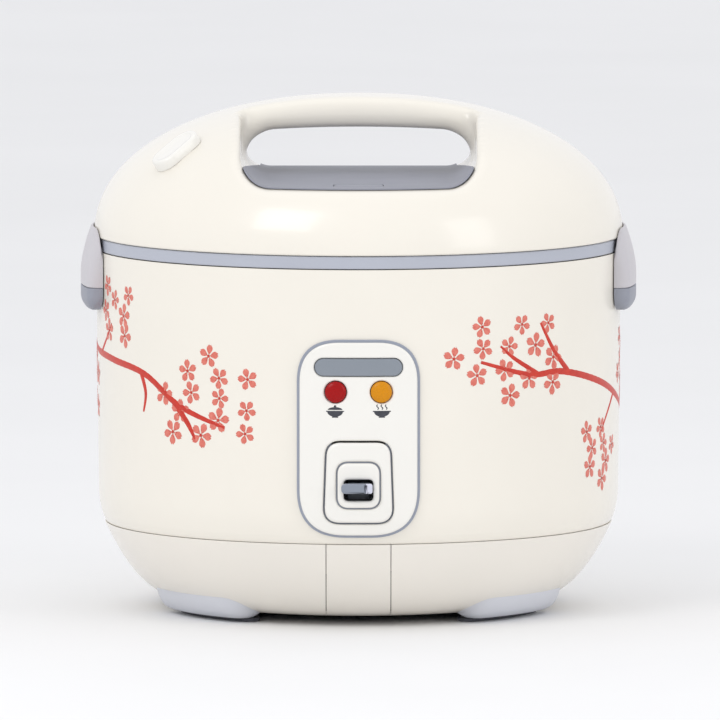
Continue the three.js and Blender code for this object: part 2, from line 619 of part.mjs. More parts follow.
function lidCover() {
  const shell = domeSolid(0).subtract(domeSolid(LID_WALL, 10));
  const strap = domeSolid(0).intersect(strapSolid(0));
  const ventHole = ventPill(0.5, -15, 15);
  const knuckleNotch = box(-KNUCKLE_HALF_WIDTH - 0.5, KNUCKLE_HALF_WIDTH + 0.5, 125, 160, 190, 206);
  const trayRoom = wellSolid(TRAY_WALL + GAP).intersect(belowTrayEdge(GAP));
  const sides = wellLining().subtract(belowTrayEdge(GAP));
  return shell.subtract(wellSolid(0)).subtract(trayRoom).add(sides).add(strap).subtract(ventHole)
    .subtract(knuckleNotch);
}

const buttonHole = () => box(-BUTTON.halfX - GAP, BUTTON.halfX + GAP, BUTTON.y - BUTTON.halfY - GAP,
  BUTTON.y + BUTTON.halfY + GAP, WELL_FLOOR - 10, WELL_FLOOR + 10);

function handleTray() {
  const trough = wellLining().intersect(belowTrayEdge(0));
  return trough.subtract(strapSolid(GAP)).subtract(buttonHole());
}

function releaseButton() {
  const { y, halfX, halfY } = BUTTON;
  const cap = box(-halfX, halfX, y - halfY, y + halfY, WELL_FLOOR - 5, WELL_FLOOR);
  const flange = box(-halfX - 2.5, halfX + 2.5, y - halfY - 1.5, y + halfY + 1.5, WELL_FLOOR - 6,
    WELL_FLOOR - TRAY_WALL - GAP - 0.2);
  const blade = box(-4, 4, y - 1, y + 1, LATCH.z + 2.2, WELL_FLOOR - 5);
  return union(cap, flange, blade);
}

function latchHook() {
  const { y, z, halfWidth: w } = LATCH;
  const barrel = rod(4, at(-w - 4, y, z), X_AXIS, 2 * w + 8);
  const arm = box(-w, w, y, BUTTON.y + 3, z - 1.2, z + 1.8);
  const hook = box(-w, w, y - 1.5, y + 1.5, 188.5, z);
  const toe = box(-w, w, y - 3.5, y + 1.6, 188.5, 191.5);
  return union(barrel, arm, hook, toe);
}

const ductFoot = () => at(VENT.x, VENT.y, 0).setLength(DUCT.footRadius).setZ(DUCT.foot);

function lidLiner() {
  const plate = turned([[0, 190.5], [3.5, 190.5], [3.5, 197.4], [114, 197.4], [116, 199.8], [137.4, 199.8],
    [137.4, 202], [115, 202], [112.6, 199.8], [0, 199.8]], INNER);
  const arm = box(-KNUCKLE_HALF_WIDTH, KNUCKLE_HALF_WIDTH, 124, 160, 190, 210);
  const slot = box(-LATCH.halfWidth - 2, LATCH.halfWidth + 2, -135, -123, 190, 210);
  return plate.subtract(arm).subtract(slot).subtract(rod(DUCT.bore, ductFoot().setZ(190), Z_AXIS, 20));
}

const INNER_LID_RADIUS = 107;
const STEAM_HOLES = 6;

function innerLid() {
  const disc = turned([[9.3, 194.4], [INNER_LID_RADIUS, 194.4], [INNER_LID_RADIUS, 195.6], [9.3, 195.6]], INNER);
  const holes = [];
  for (let i = 0; i < STEAM_HOLES; i += 1) {
    const angle = (2 * Math.PI * i) / STEAM_HOLES;
    holes.push(rod(3, at(60 * Math.cos(angle), 60 * Math.sin(angle), 190), Z_AXIS, 10, 12));
  }
  return disc.subtract(union(...holes));
}

const innerLidGasket = () => turned([[105.2, 191.8], [113.6, 191.8], [113.6, 197.1], [105.2, 197.1],
  [105.2, 195.9], [107.3, 195.9], [107.3, 194.1], [105.2, 194.1]], INNER);

const innerLidGrommet = () => turned([[3.8, 192.6], [11.5, 192.6], [11.5, 194.1], [9, 194.1], [9, 195.9],
  [11.5, 195.9], [11.5, 197.1], [3.8, 197.1]], COARSE);

// A cup under the vent cap's plug, with a pipe down to the lid liner.
function steamDuct() {
  const { bore, wall, foot: footZ } = DUCT;
  const cupTop = LID_WALL + GAP + 1.6;
  const cupFloor = cupTop + 12;
  const foot = ductFoot();
  const middle = underVent(cupFloor);
  const axis = middle.clone().sub(foot).normalize();
  const length = middle.distanceTo(foot);
  const pipe = rod(bore + wall, foot, axis, length);
  const channel = rod(bore, foot.clone().addScaledVector(axis, -10), axis, length + 10);
  const trim = box(-200, 0, -200, 0, 150, footZ);
  return union(ventPill(2.5, -cupFloor - 2, -cupTop), pipe)
    .subtract(union(ventPill(0.6, -cupFloor, 10), channel, trim));
}

const OUTLETS = [-5, 0, 5];      // steam outlets along the cap

function steamVentCap() {
  const { halfLength, halfWidth, raise } = VENT;
  const cushion = (inset, top) => ontoVent(alongZ(pillShape(halfLength - inset, halfWidth - inset), -6, top));
  const cap = union(cushion(0, raise - 1.2), cushion(1.2, raise)).subtract(domeSolid(-GAP));
  const throat = ventPill(-2, -VENT_PLUG.depth - 3, raise - 2);
  const outlets = OUTLETS.map((x) => ontoVent(box(x - 1.2, x + 1.2, -30, 30, 1.4, raise - 2)));
  return cap.add(ventPill(0, -VENT_PLUG.depth, 2)).subtract(union(throat, ...outlets));
}

function lidKnuckle() {
  const w = KNUCKLE_HALF_WIDTH;
  const barrel = rod(KNUCKLE_RADIUS, at(-w, HINGE.y, HINGE.z), X_AXIS, 2 * w);
  const arm = box(-w + 1, w - 1, 125, HINGE.y, HINGE.z + 1.3, HINGE.z + 5.2);
  return barrel.add(arm).subtract(pinBore());
}

// ---- Materials ---------------------------------------------------------------------------------------------------

const material = (color, roughness, metalness = 0) => new THREE.MeshStandardMaterial({ color, roughness, metalness });

const CREAM = material(0xf3efe6, 0.35);
const CREAM_BASE = material(0xe8e3df, 0.4);
const LAVENDER = material(0xc2c5d2, 0.45);
const WELL_GREY = material(0x9a9ca8, 0.5);
const GRIP_LIGHT = material(0xcac5c9, 0.5);
const GRIP_DARK = material(0x92959e, 0.55);
const FOOT_GREY = material(0xbbbec7, 0.5);
const RUBBER = material(0x55565c, 0.85);
const SILICONE = material(0xd9d9d6, 0.7);
const PANEL_WHITE = material(0xf6f4ef, 0.3);
const PLATE_GREY = material(0x89909a, 0.45);
const RED_LENS = material(0xa30000, 0.2);
const AMBER_LENS = material(0xd68d0a, 0.2);
const LEVER_GREY = material(0x858c96, 0.4);
const STEEL = material(0xb4b6ba, 0.35, 1);
const ALUMINIUM = material(0xc9cbce, 0.4, 1);
const DARK_PLASTIC = material(0x33343a, 0.6);
const BOARD_GREEN = material(0x2f6b3c, 0.6);
const MAGNET = material(0x4a4b50, 0.5, 0.6);
const BRASS = material(0xc8a24a, 0.35, 1);
const GLASS = material(0xe8e4da, 0.1);

// ---- Assembly ----------------------------------------------------------------------------------------------------

const body = new THREE.Group();

function addPiece(name, piece, look) {
  const mesh = new THREE.Mesh(geometryOf(piece), look);
  mesh.name = name;
  body.add(mesh);
}

addPiece('base_housing', baseHousing(), CREAM_BASE);
addPiece('base_front_panel', baseFrontPanel(), CREAM_BASE);
addPiece('bottom_cover', bottomCover(), DARK_PLASTIC);
for (const [place, span] of Object.entries(FEET)) {
  addPiece(`foot_${place}`, foot(span), FOOT_GREY);
  addPiece(`foot_pad_${place}`, footPad(span), RUBBER);
}

addPiece('outer_casing', outerCasing(), CREAM);
addPiece('top_rim', topRim(), LAVENDER);
addPiece('latch_catch', latchCatch(), STEEL);
addPiece('heat_shield', heatShield(), STEEL);
addPiece('inner_pot', innerPot(), ALUMINIUM);
addPiece('heater_plate', heaterPlate(), ALUMINIUM);
addPiece('heating_element', heatingElement(), STEEL);
for (const number of [1, 2, 3]) addPiece(`heater_post_${number}`, heaterPost(number), STEEL);
addPiece('thermostat_cap', thermostatCap(), ALUMINIUM);
addPiece('magnet_plunger', magnetPlunger(), MAGNET);
addPiece('switch_lever', switchLever(), LEVER_GREY);
addPiece('lever_bracket', leverBracket(), STEEL);
addPiece('lever_pin', leverPin(), STEEL);
addPiece('microswitch', microswitch(), DARK_PLASTIC);

addPiece('control_panel', controlPanel(), PANEL_WHITE);
addPiece('name_plate', namePlate(), PLATE_GREY);
addPiece('switch_plinth', switchPlinth(), PANEL_WHITE);
addPiece('switch_bezel', switchBezel(), PANEL_WHITE);
addPiece('lamp_board', lampBoard(), BOARD_GREEN);
addPiece('cook_lamp_lens', lampLens(-1), RED_LENS);
addPiece('warm_lamp_lens', lampLens(1), AMBER_LENS);
addPiece('cook_lamp', lampBulb(-1), GLASS);
addPiece('warm_lamp', lampBulb(1), GLASS);

for (const [name, side] of Object.entries({ left: -1, right: 1 })) {
  addPiece(`side_grip_${name}`, sideGrip(side), GRIP_LIGHT);
  addPiece(`side_grip_pad_${name}`, gripPad(side), GRIP_DARK);
  addPiece(`inlet_pin_${name}`, inletPin(side), BRASS);
  addPiece(`base_screw_${name}`, baseScrew(side), STEEL);
}
addPiece('power_inlet', powerInlet(), DARK_PLASTIC);
addPiece('hinge_bracket', hingeBracket(), GRIP_DARK);
addPiece('hinge_pin', hingePin(), STEEL);
addPiece('dew_collector', dewCollector(), GRIP_LIGHT);

addPiece('lid_cover', lidCover(), CREAM);
addPiece('handle_tray', handleTray(), WELL_GREY);
addPiece('release_button', releaseButton(), WELL_GREY);
addPiece('latch_hook', latchHook(), STEEL);
addPiece('lid_knuckle', lidKnuckle(), GRIP_DARK);
addPiece('lid_liner', lidLiner(), FOOT_GREY);
addPiece('inner_lid', innerLid(), ALUMINIUM);
addPiece('inner_lid_gasket', innerLidGasket(), SILICONE);
addPiece('inner_lid_grommet', innerLidGrommet(), SILICONE);
addPiece('steam_duct', steamDuct(), SILICONE);
addPiece('steam_vent_cap', steamVentCap(), CREAM);

// The lever's tip is the foremost point and the drip cup's back the rearmost.
body.position.y = -(LEVER_TIP + DEW.rear) / 2;

const group = new THREE.Group();
group.add(body);

export default group;
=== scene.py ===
"""A rice cooker's looks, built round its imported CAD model.

Shapes are drawn in millimetres, with the ground at z = 0 and the pot's axis at x = y = 0, and are moved
into the frame when each piece is finished.
"""

import math

import bmesh
import bpy
import numpy as np
from mathutils import Matrix, Vector


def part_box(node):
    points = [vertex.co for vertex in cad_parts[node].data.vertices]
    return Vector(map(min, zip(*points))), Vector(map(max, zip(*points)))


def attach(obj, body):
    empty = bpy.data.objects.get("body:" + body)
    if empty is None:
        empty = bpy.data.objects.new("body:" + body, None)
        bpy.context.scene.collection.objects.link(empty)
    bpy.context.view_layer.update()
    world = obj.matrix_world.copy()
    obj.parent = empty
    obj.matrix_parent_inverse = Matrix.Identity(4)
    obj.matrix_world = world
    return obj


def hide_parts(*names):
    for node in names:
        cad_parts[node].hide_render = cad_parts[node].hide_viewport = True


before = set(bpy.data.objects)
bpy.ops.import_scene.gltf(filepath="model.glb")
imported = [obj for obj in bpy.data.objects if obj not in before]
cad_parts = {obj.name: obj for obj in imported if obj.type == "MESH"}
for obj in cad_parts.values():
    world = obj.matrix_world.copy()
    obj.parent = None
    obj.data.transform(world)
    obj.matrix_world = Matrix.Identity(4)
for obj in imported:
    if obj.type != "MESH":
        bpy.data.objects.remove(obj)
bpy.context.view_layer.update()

# ---- Driving sizes, in millimetres ---------------------------------------------------------------

MM = 0.001


def cad_box(node):
    """A CAD node's corners in millimetres, measured from the pot's axis."""
    low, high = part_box(node)
    return (low - AXIS) / MM, (high - AXIS) / MM


POT_LOW, POT_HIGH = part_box("inner_pot")
AXIS = Vector(((POT_LOW.x + POT_HIGH.x) / 2, (POT_LOW.y + POT_HIGH.y) / 2, 0))

CASING_LOW, CASING_HIGH = cad_box("outer_casing")
LID_LOW, LID_HIGH = cad_box("lid_cover")

ROUND = 176                      # segments round the body
CASING_BOTTOM = CASING_LOW.z
CASING_TOP = CASING_HIGH.z
CURVE_TOP = CASING_BOTTOM + 18   # the casing tucks in below this
CASING_TUCK = 3.3
CASING_FLARE = 1.2
CASING_RADIUS = CASING_HIGH.x - CASING_FLARE
CASING_WALL = 2.4
WINDOW = (21.0, 62.0, 146.0)     # half width, bottom and top of the hole behind the panel

BASE_TOP = CASING_BOTTOM - 0.4
BASE_BOTTOM = 4.0
BASE_RIM = 135.5
BASE_FLAT = 80.0
BASE_POWER = 2.9
BASE_WALL = 2.4
STRIP_HALF_WIDTH = 16.9          # the strip in the base's front, between two seams
SEAM = 0.4

LID_RADIUS = LID_HIGH.x
LID_BOTTOM = LID_LOW.z
LID_RISE = LID_HIGH.z - LID_LOW.z
LID_POWER = 2.15
LID_WALL = 2.6

WELL_HALF_WIDTH = 61.5
WELL_FLOOR = 233.9
WELL_CORNER = 15.0
WELL_CREST = 40.0                # behind this the well's floor falls to the rear
WELL_FALL = math.radians(8)
WELL_ROLL = 12.0                 # how softly it starts to fall
TRAY_WALL = 0.8
TRAY_DEPTH = 9.0
STRAP_HALF_DEPTH = 21.0
STRAP_UNDERSIDE = 257.0
STRAP_CORNER = 18.0
STRAP_BOW = 2.5                  # how much the strap's underside rises to its middle
WELL_EDGE = 5.0                  # rounding of the well's edge
STRAP_EDGE = 8.0                 # rounding of the strap's edges
STRAP_BLEND = 7.0                # fillet where the strap meets the dome

# ---- Finishing a piece ---------------------------------------------------------------------------


def moved(bm, by):
    bmesh.ops.translate(bm, vec=by, verts=bm.verts)
    return bm


def turned(bm, angle, axis):
    bmesh.ops.rotate(bm, matrix=Matrix.Rotation(angle, 3, axis), verts=bm.verts)
    return bm


def scaled(bm, by):
    bmesh.ops.scale(bm, vec=(by, by, by), verts=bm.verts)
    return bm


def sawn(bm, place, normal, clear=False):
    """Cuts a mesh through with a plane, and clears what is on the normal's side if asked."""
    bmesh.ops.bisect_plane(bm, geom=bm.verts[:] + bm.edges[:] + bm.faces[:], dist=1e-4, plane_co=place,
                           plane_no=normal, clear_outer=clear)


def bridge(bm, rings, closed=True):
    """Fills the bands between rings of points, or between open rows."""
    for ring, following in zip(rings, rings[1:]):
        count = len(ring)
        for i in range(count if closed else count - 1):
            j = (i + 1) % count
            bm.faces.new((ring[i], ring[j], following[j], following[i]))


def tube(bm, rings):
    """Bridges rings of points and closes the two ends."""
    bridge(bm, rings)
    bm.faces.new(rings[0])
    bm.faces.new(list(reversed(rings[-1])))
    return bm


def as_mesh(name, bm):
    """A drawn mesh as mesh data, which uses the drawing up."""
    mesh = bpy.data.meshes.new(name)
    bm.to_mesh(mesh)
    bm.free()
    return mesh


def added(name, data):
    """A new object in the scene."""
    thing = bpy.data.objects.new(name, data)
    bpy.context.scene.collection.objects.link(thing)
    return thing


def finish_piece(name, bm, material, body, replaces=(), crease=32):
    """Turns a drawn mesh into a named object that rides on a body."""
    bmesh.ops.recalc_face_normals(bm, faces=bm.faces)
    mesh = as_mesh(name, moved(scaled(bm, MM), AXIS))
    mesh.shade_smooth()
    mesh.set_sharp_from_angle(angle=math.radians(crease))
    mesh.materials.append(material)
    piece = added(name, mesh)
    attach(piece, body)
    if replaces:
        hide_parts(*replaces)


def cut_away(bm, tool):
    """Boolean difference of two drawn meshes, by Blender's exact solver."""
    objects = []
    for part in (bm, tool):
        bmesh.ops.recalc_face_normals(part, faces=part.faces)
        objects.append(added("boolean", as_mesh("boolean", part)))
    body, cutter = objects
    modifier = body.modifiers.new("cut", "BOOLEAN")
    modifier.object = cutter
    modifier.solver = "EXACT"
    result = bmesh.new()
    result.from_object(body, bpy.context.evaluated_depsgraph_get())
    for thing in objects:
        mesh = thing.data
        bpy.data.objects.remove(thing)
        bpy.data.meshes.remove(mesh)
    return result


# ---- Drawing helpers -----------------------------------------------------------------------------


def fillet(points, radius, steps=5):
    """A closed outline with its corners rounded. radius is one number, or one per corner."""
    radii = radius if isinstance(radius, (list, tuple)) else [radius] * len(points)
    out = []
    for i, corner in enumerate(points):
        here = Vector(corner)
        before = Vector(points[i - 1]) - here
        after = Vector(points[(i + 1) % len(points)]) - here
        if radii[i] <= 0:
            out.append(tuple(here))
            continue
        half = before.angle(after) / 2
        reach = min(radii[i] / math.tan(half), before.length * 0.49, after.length * 0.49)
        start = here + before.normalized() * reach
        end = here + after.normalized() * reach
        for k in range(steps + 1):
            t = k / steps
            out.append(tuple(start * (1 - t) ** 2 + here * 2 * t * (1 - t) + end * t ** 2))
    return out


def lathe(outline, segments=ROUND, start=0.0, sweep=2 * math.pi):
    """A closed [radius, height] outline turned about Z."""
    bm = bmesh.new()
    full = sweep >= 2 * math.pi - 1e-6
    stations = segments if full else segments + 1
    rings = []
    for k in range(stations):
        angle = start + sweep * k / segments
        rings.append([bm.verts.new((r * math.cos(angle), r * math.sin(angle), z)) for r, z in outline])
    if full:
        bridge(bm, rings + rings[:1])
    else:
        tube(bm, rings)
    bmesh.ops.remove_doubles(bm, verts=bm.verts, dist=1e-4)
    bmesh.ops.dissolve_degenerate(bm, dist=1e-5, edges=bm.edges)
    return bm


def block(low, high, bevel=0.0, segments=3):
    """A box with rounded edges."""
    bm = bmesh.new()
    bmesh.ops.create_cube(bm, size=1)
    bmesh.ops.scale(bm, vec=Vector(high) - Vector(low), verts=bm.verts)
    moved(bm, (Vector(low) + Vector(high)) / 2)
    if bevel > 0:
        bmesh.ops.bevel(bm, geom=bm.edges[:] + bm.verts[:], offset=bevel, segments=segments, affect="EDGES",
                        profile=0.5)
    return bm


def merged(*parts):
    """Several drawn meshes as one."""
    out = bmesh.new()
    for part in parts:
        mesh = as_mesh("merge", part)
        out.from_mesh(mesh)
        bpy.data.meshes.remove(mesh)
    return out


def plate(outlines, depth, bevel, bevel_steps=4):
    """A flat plate with rounded edges in the XZ plane, from y = 0 to y = depth. Later outlines are holes."""
    curve = bpy.data.curves.new("plate", "CURVE")
    curve.dimensions = "2D"
    curve.fill_mode = "BOTH"
    curve.extrude = depth / 2 - bevel
    curve.bevel_depth = bevel
    curve.bevel_resolution = bevel_steps
    curve.offset = -bevel
    for outline in outlines:
        spline = curve.splines.new("POLY")
        spline.points.add(len(outline) - 1)
        for point, (x, z) in zip(spline.points, outline):
            point.co = (x, z, 0, 1)
        spline.use_cyclic_u = True
    thing = added("plate", curve)
    bpy.context.view_layer.update()
    mesh = bpy.data.meshes.new_from_object(thing.evaluated_get(bpy.context.evaluated_depsgraph_get()))
    bm = bmesh.new()
    bm.from_mesh(mesh)
    bpy.data.objects.remove(thing)
    bpy.data.curves.remove(curve)
    bpy.data.meshes.remove(mesh)
    bmesh.ops.remove_doubles(bm, verts=bm.verts, dist=1e-3)
    return moved(turned(bm, math.pi / 2, "X"), (0, depth / 2, 0))


def sliced(bm, low, high, step):
    """Adds cuts across X, so that flat faces can bend round the casing."""
    for k in range(1, int((high - low) / step)):
        sawn(bm, (low + k * step, 0, 0), (1, 0, 0))
    return bm


def rounded_box_outline(half_width, bottom, top, corner, top_corner=None, half_width_top=None, steps=10):
    """A box with rounded corners, which may be narrower at the top."""
    top_corner = corner if top_corner is None else top_corner
    upper = half_width if half_width_top is None else half_width_top
    corners = [(-half_width, bottom), (half_width, bottom), (upper, top), (-upper, top)]
    return fillet(corners, [corner, corner, top_corner, top_corner], steps)


def circle(x, z, radius, count=48):
    """Points evenly round a circle."""
    angles = [2 * math.pi * k / count for k in range(count)]
    return [(x + radius * math.cos(a), z + radius * math.sin(a)) for a in angles]


def pill_outline(half_length, half_width, x=0.0, z=0.0, steps=14):
    """A bar with half-round ends."""
    straight = half_length - half_width
    points = []
    for side in (1, -1):
        for k in range(steps + 1):
            angle = math.pi * k / steps - side * math.pi / 2
            across = side * straight + half_width * math.cos(angle)
            points.append((x + across, z + half_width * math.sin(angle)))
    return points


# ---- Shared surfaces -----------------------------------------------------------------------------


def casing_radius(z):
    """The casing's outer radius: it widens a little upwards and tucks in at its foot."""
    flare = CASING_FLARE * (z - CURVE_TOP) / (CASING_TOP - CURVE_TOP)
    depth = max(0.0, (CURVE_TOP - z) / (CURVE_TOP - CASING_BOTTOM))
    return CASING_RADIUS + flare - CASING_TUCK * depth ** 2


def onto_casing(bm):
    """Bends a plate round the casing. In the plate y = 0 is the casing's surface and -Y is outwards."""
    for vert in bm.verts:
        reach = casing_radius(vert.co.z) - vert.co.y
        vert.co.y = -math.sqrt(max(reach * reach - vert.co.x ** 2, 1.0))


def bowl_height(r):
    """Height of the base's outer surface at a radius."""
    share = max(0.0, (r - BASE_FLAT) / (BASE_RIM - BASE_FLAT))
    return BASE_BOTTOM + (BASE_TOP - BASE_BOTTOM) * share ** BASE_POWER


def bowl_points(offset, steps=26):
    """[radius, height] points of the base's surface, or of one at an offset outside it."""
    points = []
    for i in range(steps + 1):
        r = BASE_FLAT + (BASE_RIM - BASE_FLAT) * math.sin(i / steps * math.pi / 2)
        slope = math.atan((bowl_height(r + 0.01) - bowl_height(r - 0.01)) / 0.02)
        points.append((r + offset * math.sin(slope), bowl_height(r) - offset * math.cos(slope)))
    points[-1] = (points[-1][0], BASE_TOP)
    return points


def dome_height(r):
    """Height of the lid's dome at a radius."""
    return LID_BOTTOM + LID_RISE * (1 - (r / LID_RADIUS) ** LID_POWER) ** (1 / LID_POWER)


# ---- Materials -----------------------------------------------------------------------------------


def linear(red, green, blue):
    """An sRGB colour of 0 to 255 as linear light."""
    def one(value):
        value /= 255
        return value / 12.92 if value <= 0.04045 else ((value + 0.055) / 1.055) ** 2.4
    return one(red), one(green), one(blue), 1.0


class Graph:
    """A short way to write a material's nodes."""

    def __init__(self, name):
        self.material = bpy.data.materials.new(name)
        self.material.use_nodes = True
        self.tree = self.material.node_tree
        self.shader = self.tree.nodes["Principled BSDF"]
        coordinates = self.tree.nodes.new("ShaderNodeTexCoord")
        self.place = coordinates.outputs["Object"]

    def add(self, kind, values=None, **links):
        node = self.tree.nodes.new(kind)
        for key, value in (values or {}).items():
            if isinstance(key, int) or key in node.inputs:
                node.inputs[key].default_value = value
            else:
                setattr(node, key, value)
        for key, source in links.items():
            self.tree.links.new(source, node.inputs[key.replace("_", " ")])
        return node

    def noise(self, scale, detail=4.0, rough=0.5, place=None):
        node = self.add("ShaderNodeTexNoise", {"Scale": scale, "Detail": detail, "Roughness": rough},
                        Vector=place or self.place)
        return node.outputs["Fac"]

    def between(self, factor, low, high):
        """factor from 0 to 1 as a number from low to high."""
        node = self.add("ShaderNodeMapRange", {"To Min": low, "To Max": high}, Value=factor)
        return node.outputs["Result"]

    def colours(self, factor, stops):
        node = self.add("ShaderNodeValToRGB", Fac=factor)
        ramp = node.color_ramp
        while len(ramp.elements) < len(stops):
            ramp.elements.new(0.5)
        for element, (position, colour) in zip(ramp.elements, stops):
            element.position = position
            element.color = colour
        return node.outputs["Color"]

    def shades(self, factor, colour, *stops):
        """A colour made lighter or darker along factor, at (position, brightness) stops."""
        return self.colours(factor, [(position, shade(colour, light)) for position, light in stops])

    def stretched(self, by):
        """The place in the piece, with each axis scaled."""
        node = self.add("ShaderNodeVectorMath", {"operation": "MULTIPLY", 1: by})
        self.tree.links.new(self.place, node.inputs[0])
        return node.outputs[0]

    def bump(self, height, strength, distance):
        node = self.add("ShaderNodeBump", {"Strength": strength, "Distance": distance}, Height=height)
        return node.outputs["Normal"]

    def paint(self, **sources):
        for key, source in sources.items():
            self.tree.links.new(source, self.shader.inputs[key.replace("_", " ")])

    def set(self, **values):
        for key, value in values.items():
            self.shader.inputs[key.replace("_", " ")].default_value = value


def shade(colour, factor):
    """A colour made lighter or darker."""
    return tuple(min(1.0, c * factor) for c in colour[:3]) + (1.0,)


def plastic(name, colour, roughness, grain=0.25, grain_scale=900.0, coat=0.0, spread=0.04):
    """Moulded plastic: a faint drift of colour, a fine moulded grain and slightly uneven gloss."""
    graph = Graph(name)
    tint = graph.shades(graph.noise(14.0, 3.0), colour, (0.3, 1 - spread), (0.7, 1 + spread * 0.5))
    gloss = graph.between(graph.noise(30.0, 2.0), roughness * 0.88, roughness * 1.15)
    fine = graph.bump(graph.noise(grain_scale, 3.0, 0.6), grain, 0.00006)
    graph.paint(Base_Color=tint, Roughness=gloss, Normal=fine)
    graph.set(Coat_Weight=coat, Coat_Roughness=0.08, IOR=1.48)
    return graph.material


def metal(name, colour, roughness, spun=True):
    """Spun metal with fine rings round Z, or brushed metal with streaks along X."""
    graph = Graph(name)
    if spun:
        reach = graph.add("ShaderNodeVectorMath", {"operation": "LENGTH"})
        graph.tree.links.new(graph.stretched((1.0, 1.0, 0.0)), reach.inputs[0])
        height = graph.add("ShaderNodeSeparateXYZ", Vector=graph.place).outputs["Z"]
        joined = graph.add("ShaderNodeCombineXYZ", X=reach.outputs["Value"], Y=height)
        lines = graph.noise(1400.0, 2.0, 0.7, joined.outputs["Vector"])
    else:
        lines = graph.noise(1600.0, 3.0, 0.7, graph.stretched((0.04, 1.0, 1.0)))
    graph.paint(Base_Color=graph.shades(lines, colour, (0.2, 0.86), (0.8, 1.04)),
                Roughness=graph.between(lines, roughness * 0.75, roughness * 1.3),
                Normal=graph.bump(lines, 0.3, 0.00004))
    graph.set(Metallic=1.0)
    return graph.material


def rubber(name, colour):
    """Matt rubber with a fine speck."""
    graph = Graph(name)
    speck = graph.noise(700.0, 8.0, 0.7)
    graph.paint(Base_Color=graph.shades(speck, colour, (0.25, 0.8), (0.75, 1.2)),
                Roughness=graph.between(speck, 0.65, 0.9), Normal=graph.bump(speck, 0.5, 0.0001))
    return graph.material


def lens(name, colour):
    """Clear coloured plastic with fine pressed rings behind its smooth face."""
    graph = Graph(name)
    cells = graph.add("ShaderNodeTexVoronoi", {"Scale": 1800.0}, Vector=graph.place).outputs["Distance"]
    graph.paint(Base_Color=graph.shades(cells, colour, (0.0, 1.1), (0.8, 0.9)),
                Normal=graph.bump(cells, 0.05, 0.00004))
    graph.set(Roughness=0.25, Specular_IOR_Level=0.2, Coat_Weight=0.08, Coat_Roughness=0.05)
    return graph.material


def brush_paint(name, dark, light, scale=220.0):
    """Printed decoration: a slightly uneven ink film with soft streaks."""
    graph = Graph(name)
    streak = graph.noise(scale, 5.0, 0.65)
    graph.paint(Base_Color=graph.colours(streak, [(0.3, dark), (0.7, light)]),
                Roughness=graph.between(streak, 0.3, 0.42), Normal=graph.bump(streak, 0.15, 0.00005))
    return graph.material


CREAM = plastic("cream_plastic", linear(236, 231, 220), 0.23, 0.18, 700.0, coat=0.35, spread=0.015)
BASE_CREAM = plastic("base_plastic", linear(236, 231, 222), 0.23, 0.2, 700.0, coat=0.25, spread=0.015)
# LAVENDER is painted shade: the band under the lid is greyed for the shadow of the lid's overhang.
LAVENDER = plastic("lavender_plastic", linear(178, 182, 193), 0.34, 0.3)
# WELL_GREY is partly the tray's own grey and partly painted shade, darkened for the shade in the handle's
# well; the release button shares it.
WELL_GREY = plastic("well_grey_plastic", linear(142, 144, 155), 0.5, 0.5, 1100.0)
GRIP_LIGHT = plastic("grip_light_plastic", linear(197, 194, 198), 0.42, 0.45, 1000.0)
# GRIP_DARK is painted shade: the grips' lower halves are darkened for the shade under their ledges. The
# hinge's pieces share the grey.
GRIP_DARK = plastic("grip_dark_plastic", linear(146, 149, 160), 0.48, 0.5, 1000.0)
FOOT_GREY = plastic("foot_grey_plastic", linear(208, 210, 217), 0.45, 0.4, 1000.0)
PANEL_WHITE = plastic("panel_plastic", linear(236, 234, 228), 0.2, 0.12, 600.0, coat=0.4, spread=0.01)
PLATE_GREY = plastic("plate_grey_plastic", linear(133, 140, 149), 0.38, 0.35, 1300.0)
# SEAL_GREY is partly a seal's own grey and partly painted shade, widened into a band along the edges of the
# panel and the plinth.
SEAL_GREY = plastic("seal_grey_plastic", linear(150, 156, 170), 0.42, 0.35, 1200.0)
LEVER_GREY = plastic("lever_grey_plastic", linear(133, 140, 152), 0.32, 0.25, 900.0)
# LEVER_HIGHLIGHT is a painted highlight: a pale lavender for the right end of the lever's head.
LEVER_HIGHLIGHT = plastic("lever_highlight_plastic", linear(206, 208, 222), 0.23, 0.2, 900.0)
BLACK = plastic("black_plastic", linear(34, 35, 40), 0.5, 0.5, 900.0, spread=0.15)
LINER_GREY = plastic("liner_grey_plastic", linear(205, 206, 212), 0.4, 0.35, 900.0)
SILICONE = rubber("silicone", linear(222, 221, 216))
PAD_RUBBER = rubber("pad_rubber", linear(84, 85, 92))
ALUMINIUM = metal("spun_aluminium", linear(206, 207, 210), 0.38)
STEEL = metal("brushed_steel", linear(188, 190, 194), 0.38, spun=False)
BRASS = metal("plated_brass", linear(205, 170, 92), 0.38, spun=False)
MAGNET = metal("magnet_steel", linear(88, 89, 95), 0.5)
BOARD = plastic("circuit_board", linear(47, 107, 60), 0.45, 0.6, 500.0, spread=0.2)
RED_LENS = lens("red_lens", linear(160, 0, 2))
AMBER_LENS = lens("amber_lens", linear(212, 138, 6))
BULB = lens("bulb_glass", linear(232, 228, 216))
BRANCH_INK = brush_paint("branch_ink", linear(186, 34, 16), linear(206, 52, 28))
PETAL_INK = brush_paint("petal_ink", linear(207, 96, 82), linear(224, 130, 114), 500.0)
CENTRE_INK = brush_paint("centre_ink", linear(184, 44, 30), linear(202, 66, 46), 600.0)
LABEL_INK = brush_paint("label_ink", linear(48, 50, 58), linear(64, 66, 75), 400.0)

# ---- Lid: an implicit surface meshed on a grid ---------------------------------------------------


def smooth_max(a, b, k):
    """The larger of two fields, blended over a width k."""
    h = np.clip(0.5 + 0.5 * (a - b) / k, 0, 1)
    return b * (1 - h) + a * h + k * h * (1 - h)


def smooth_min(a, b, k):
    """The smaller of two fields, blended over a width k."""
    return -smooth_max(-a, -b, k)


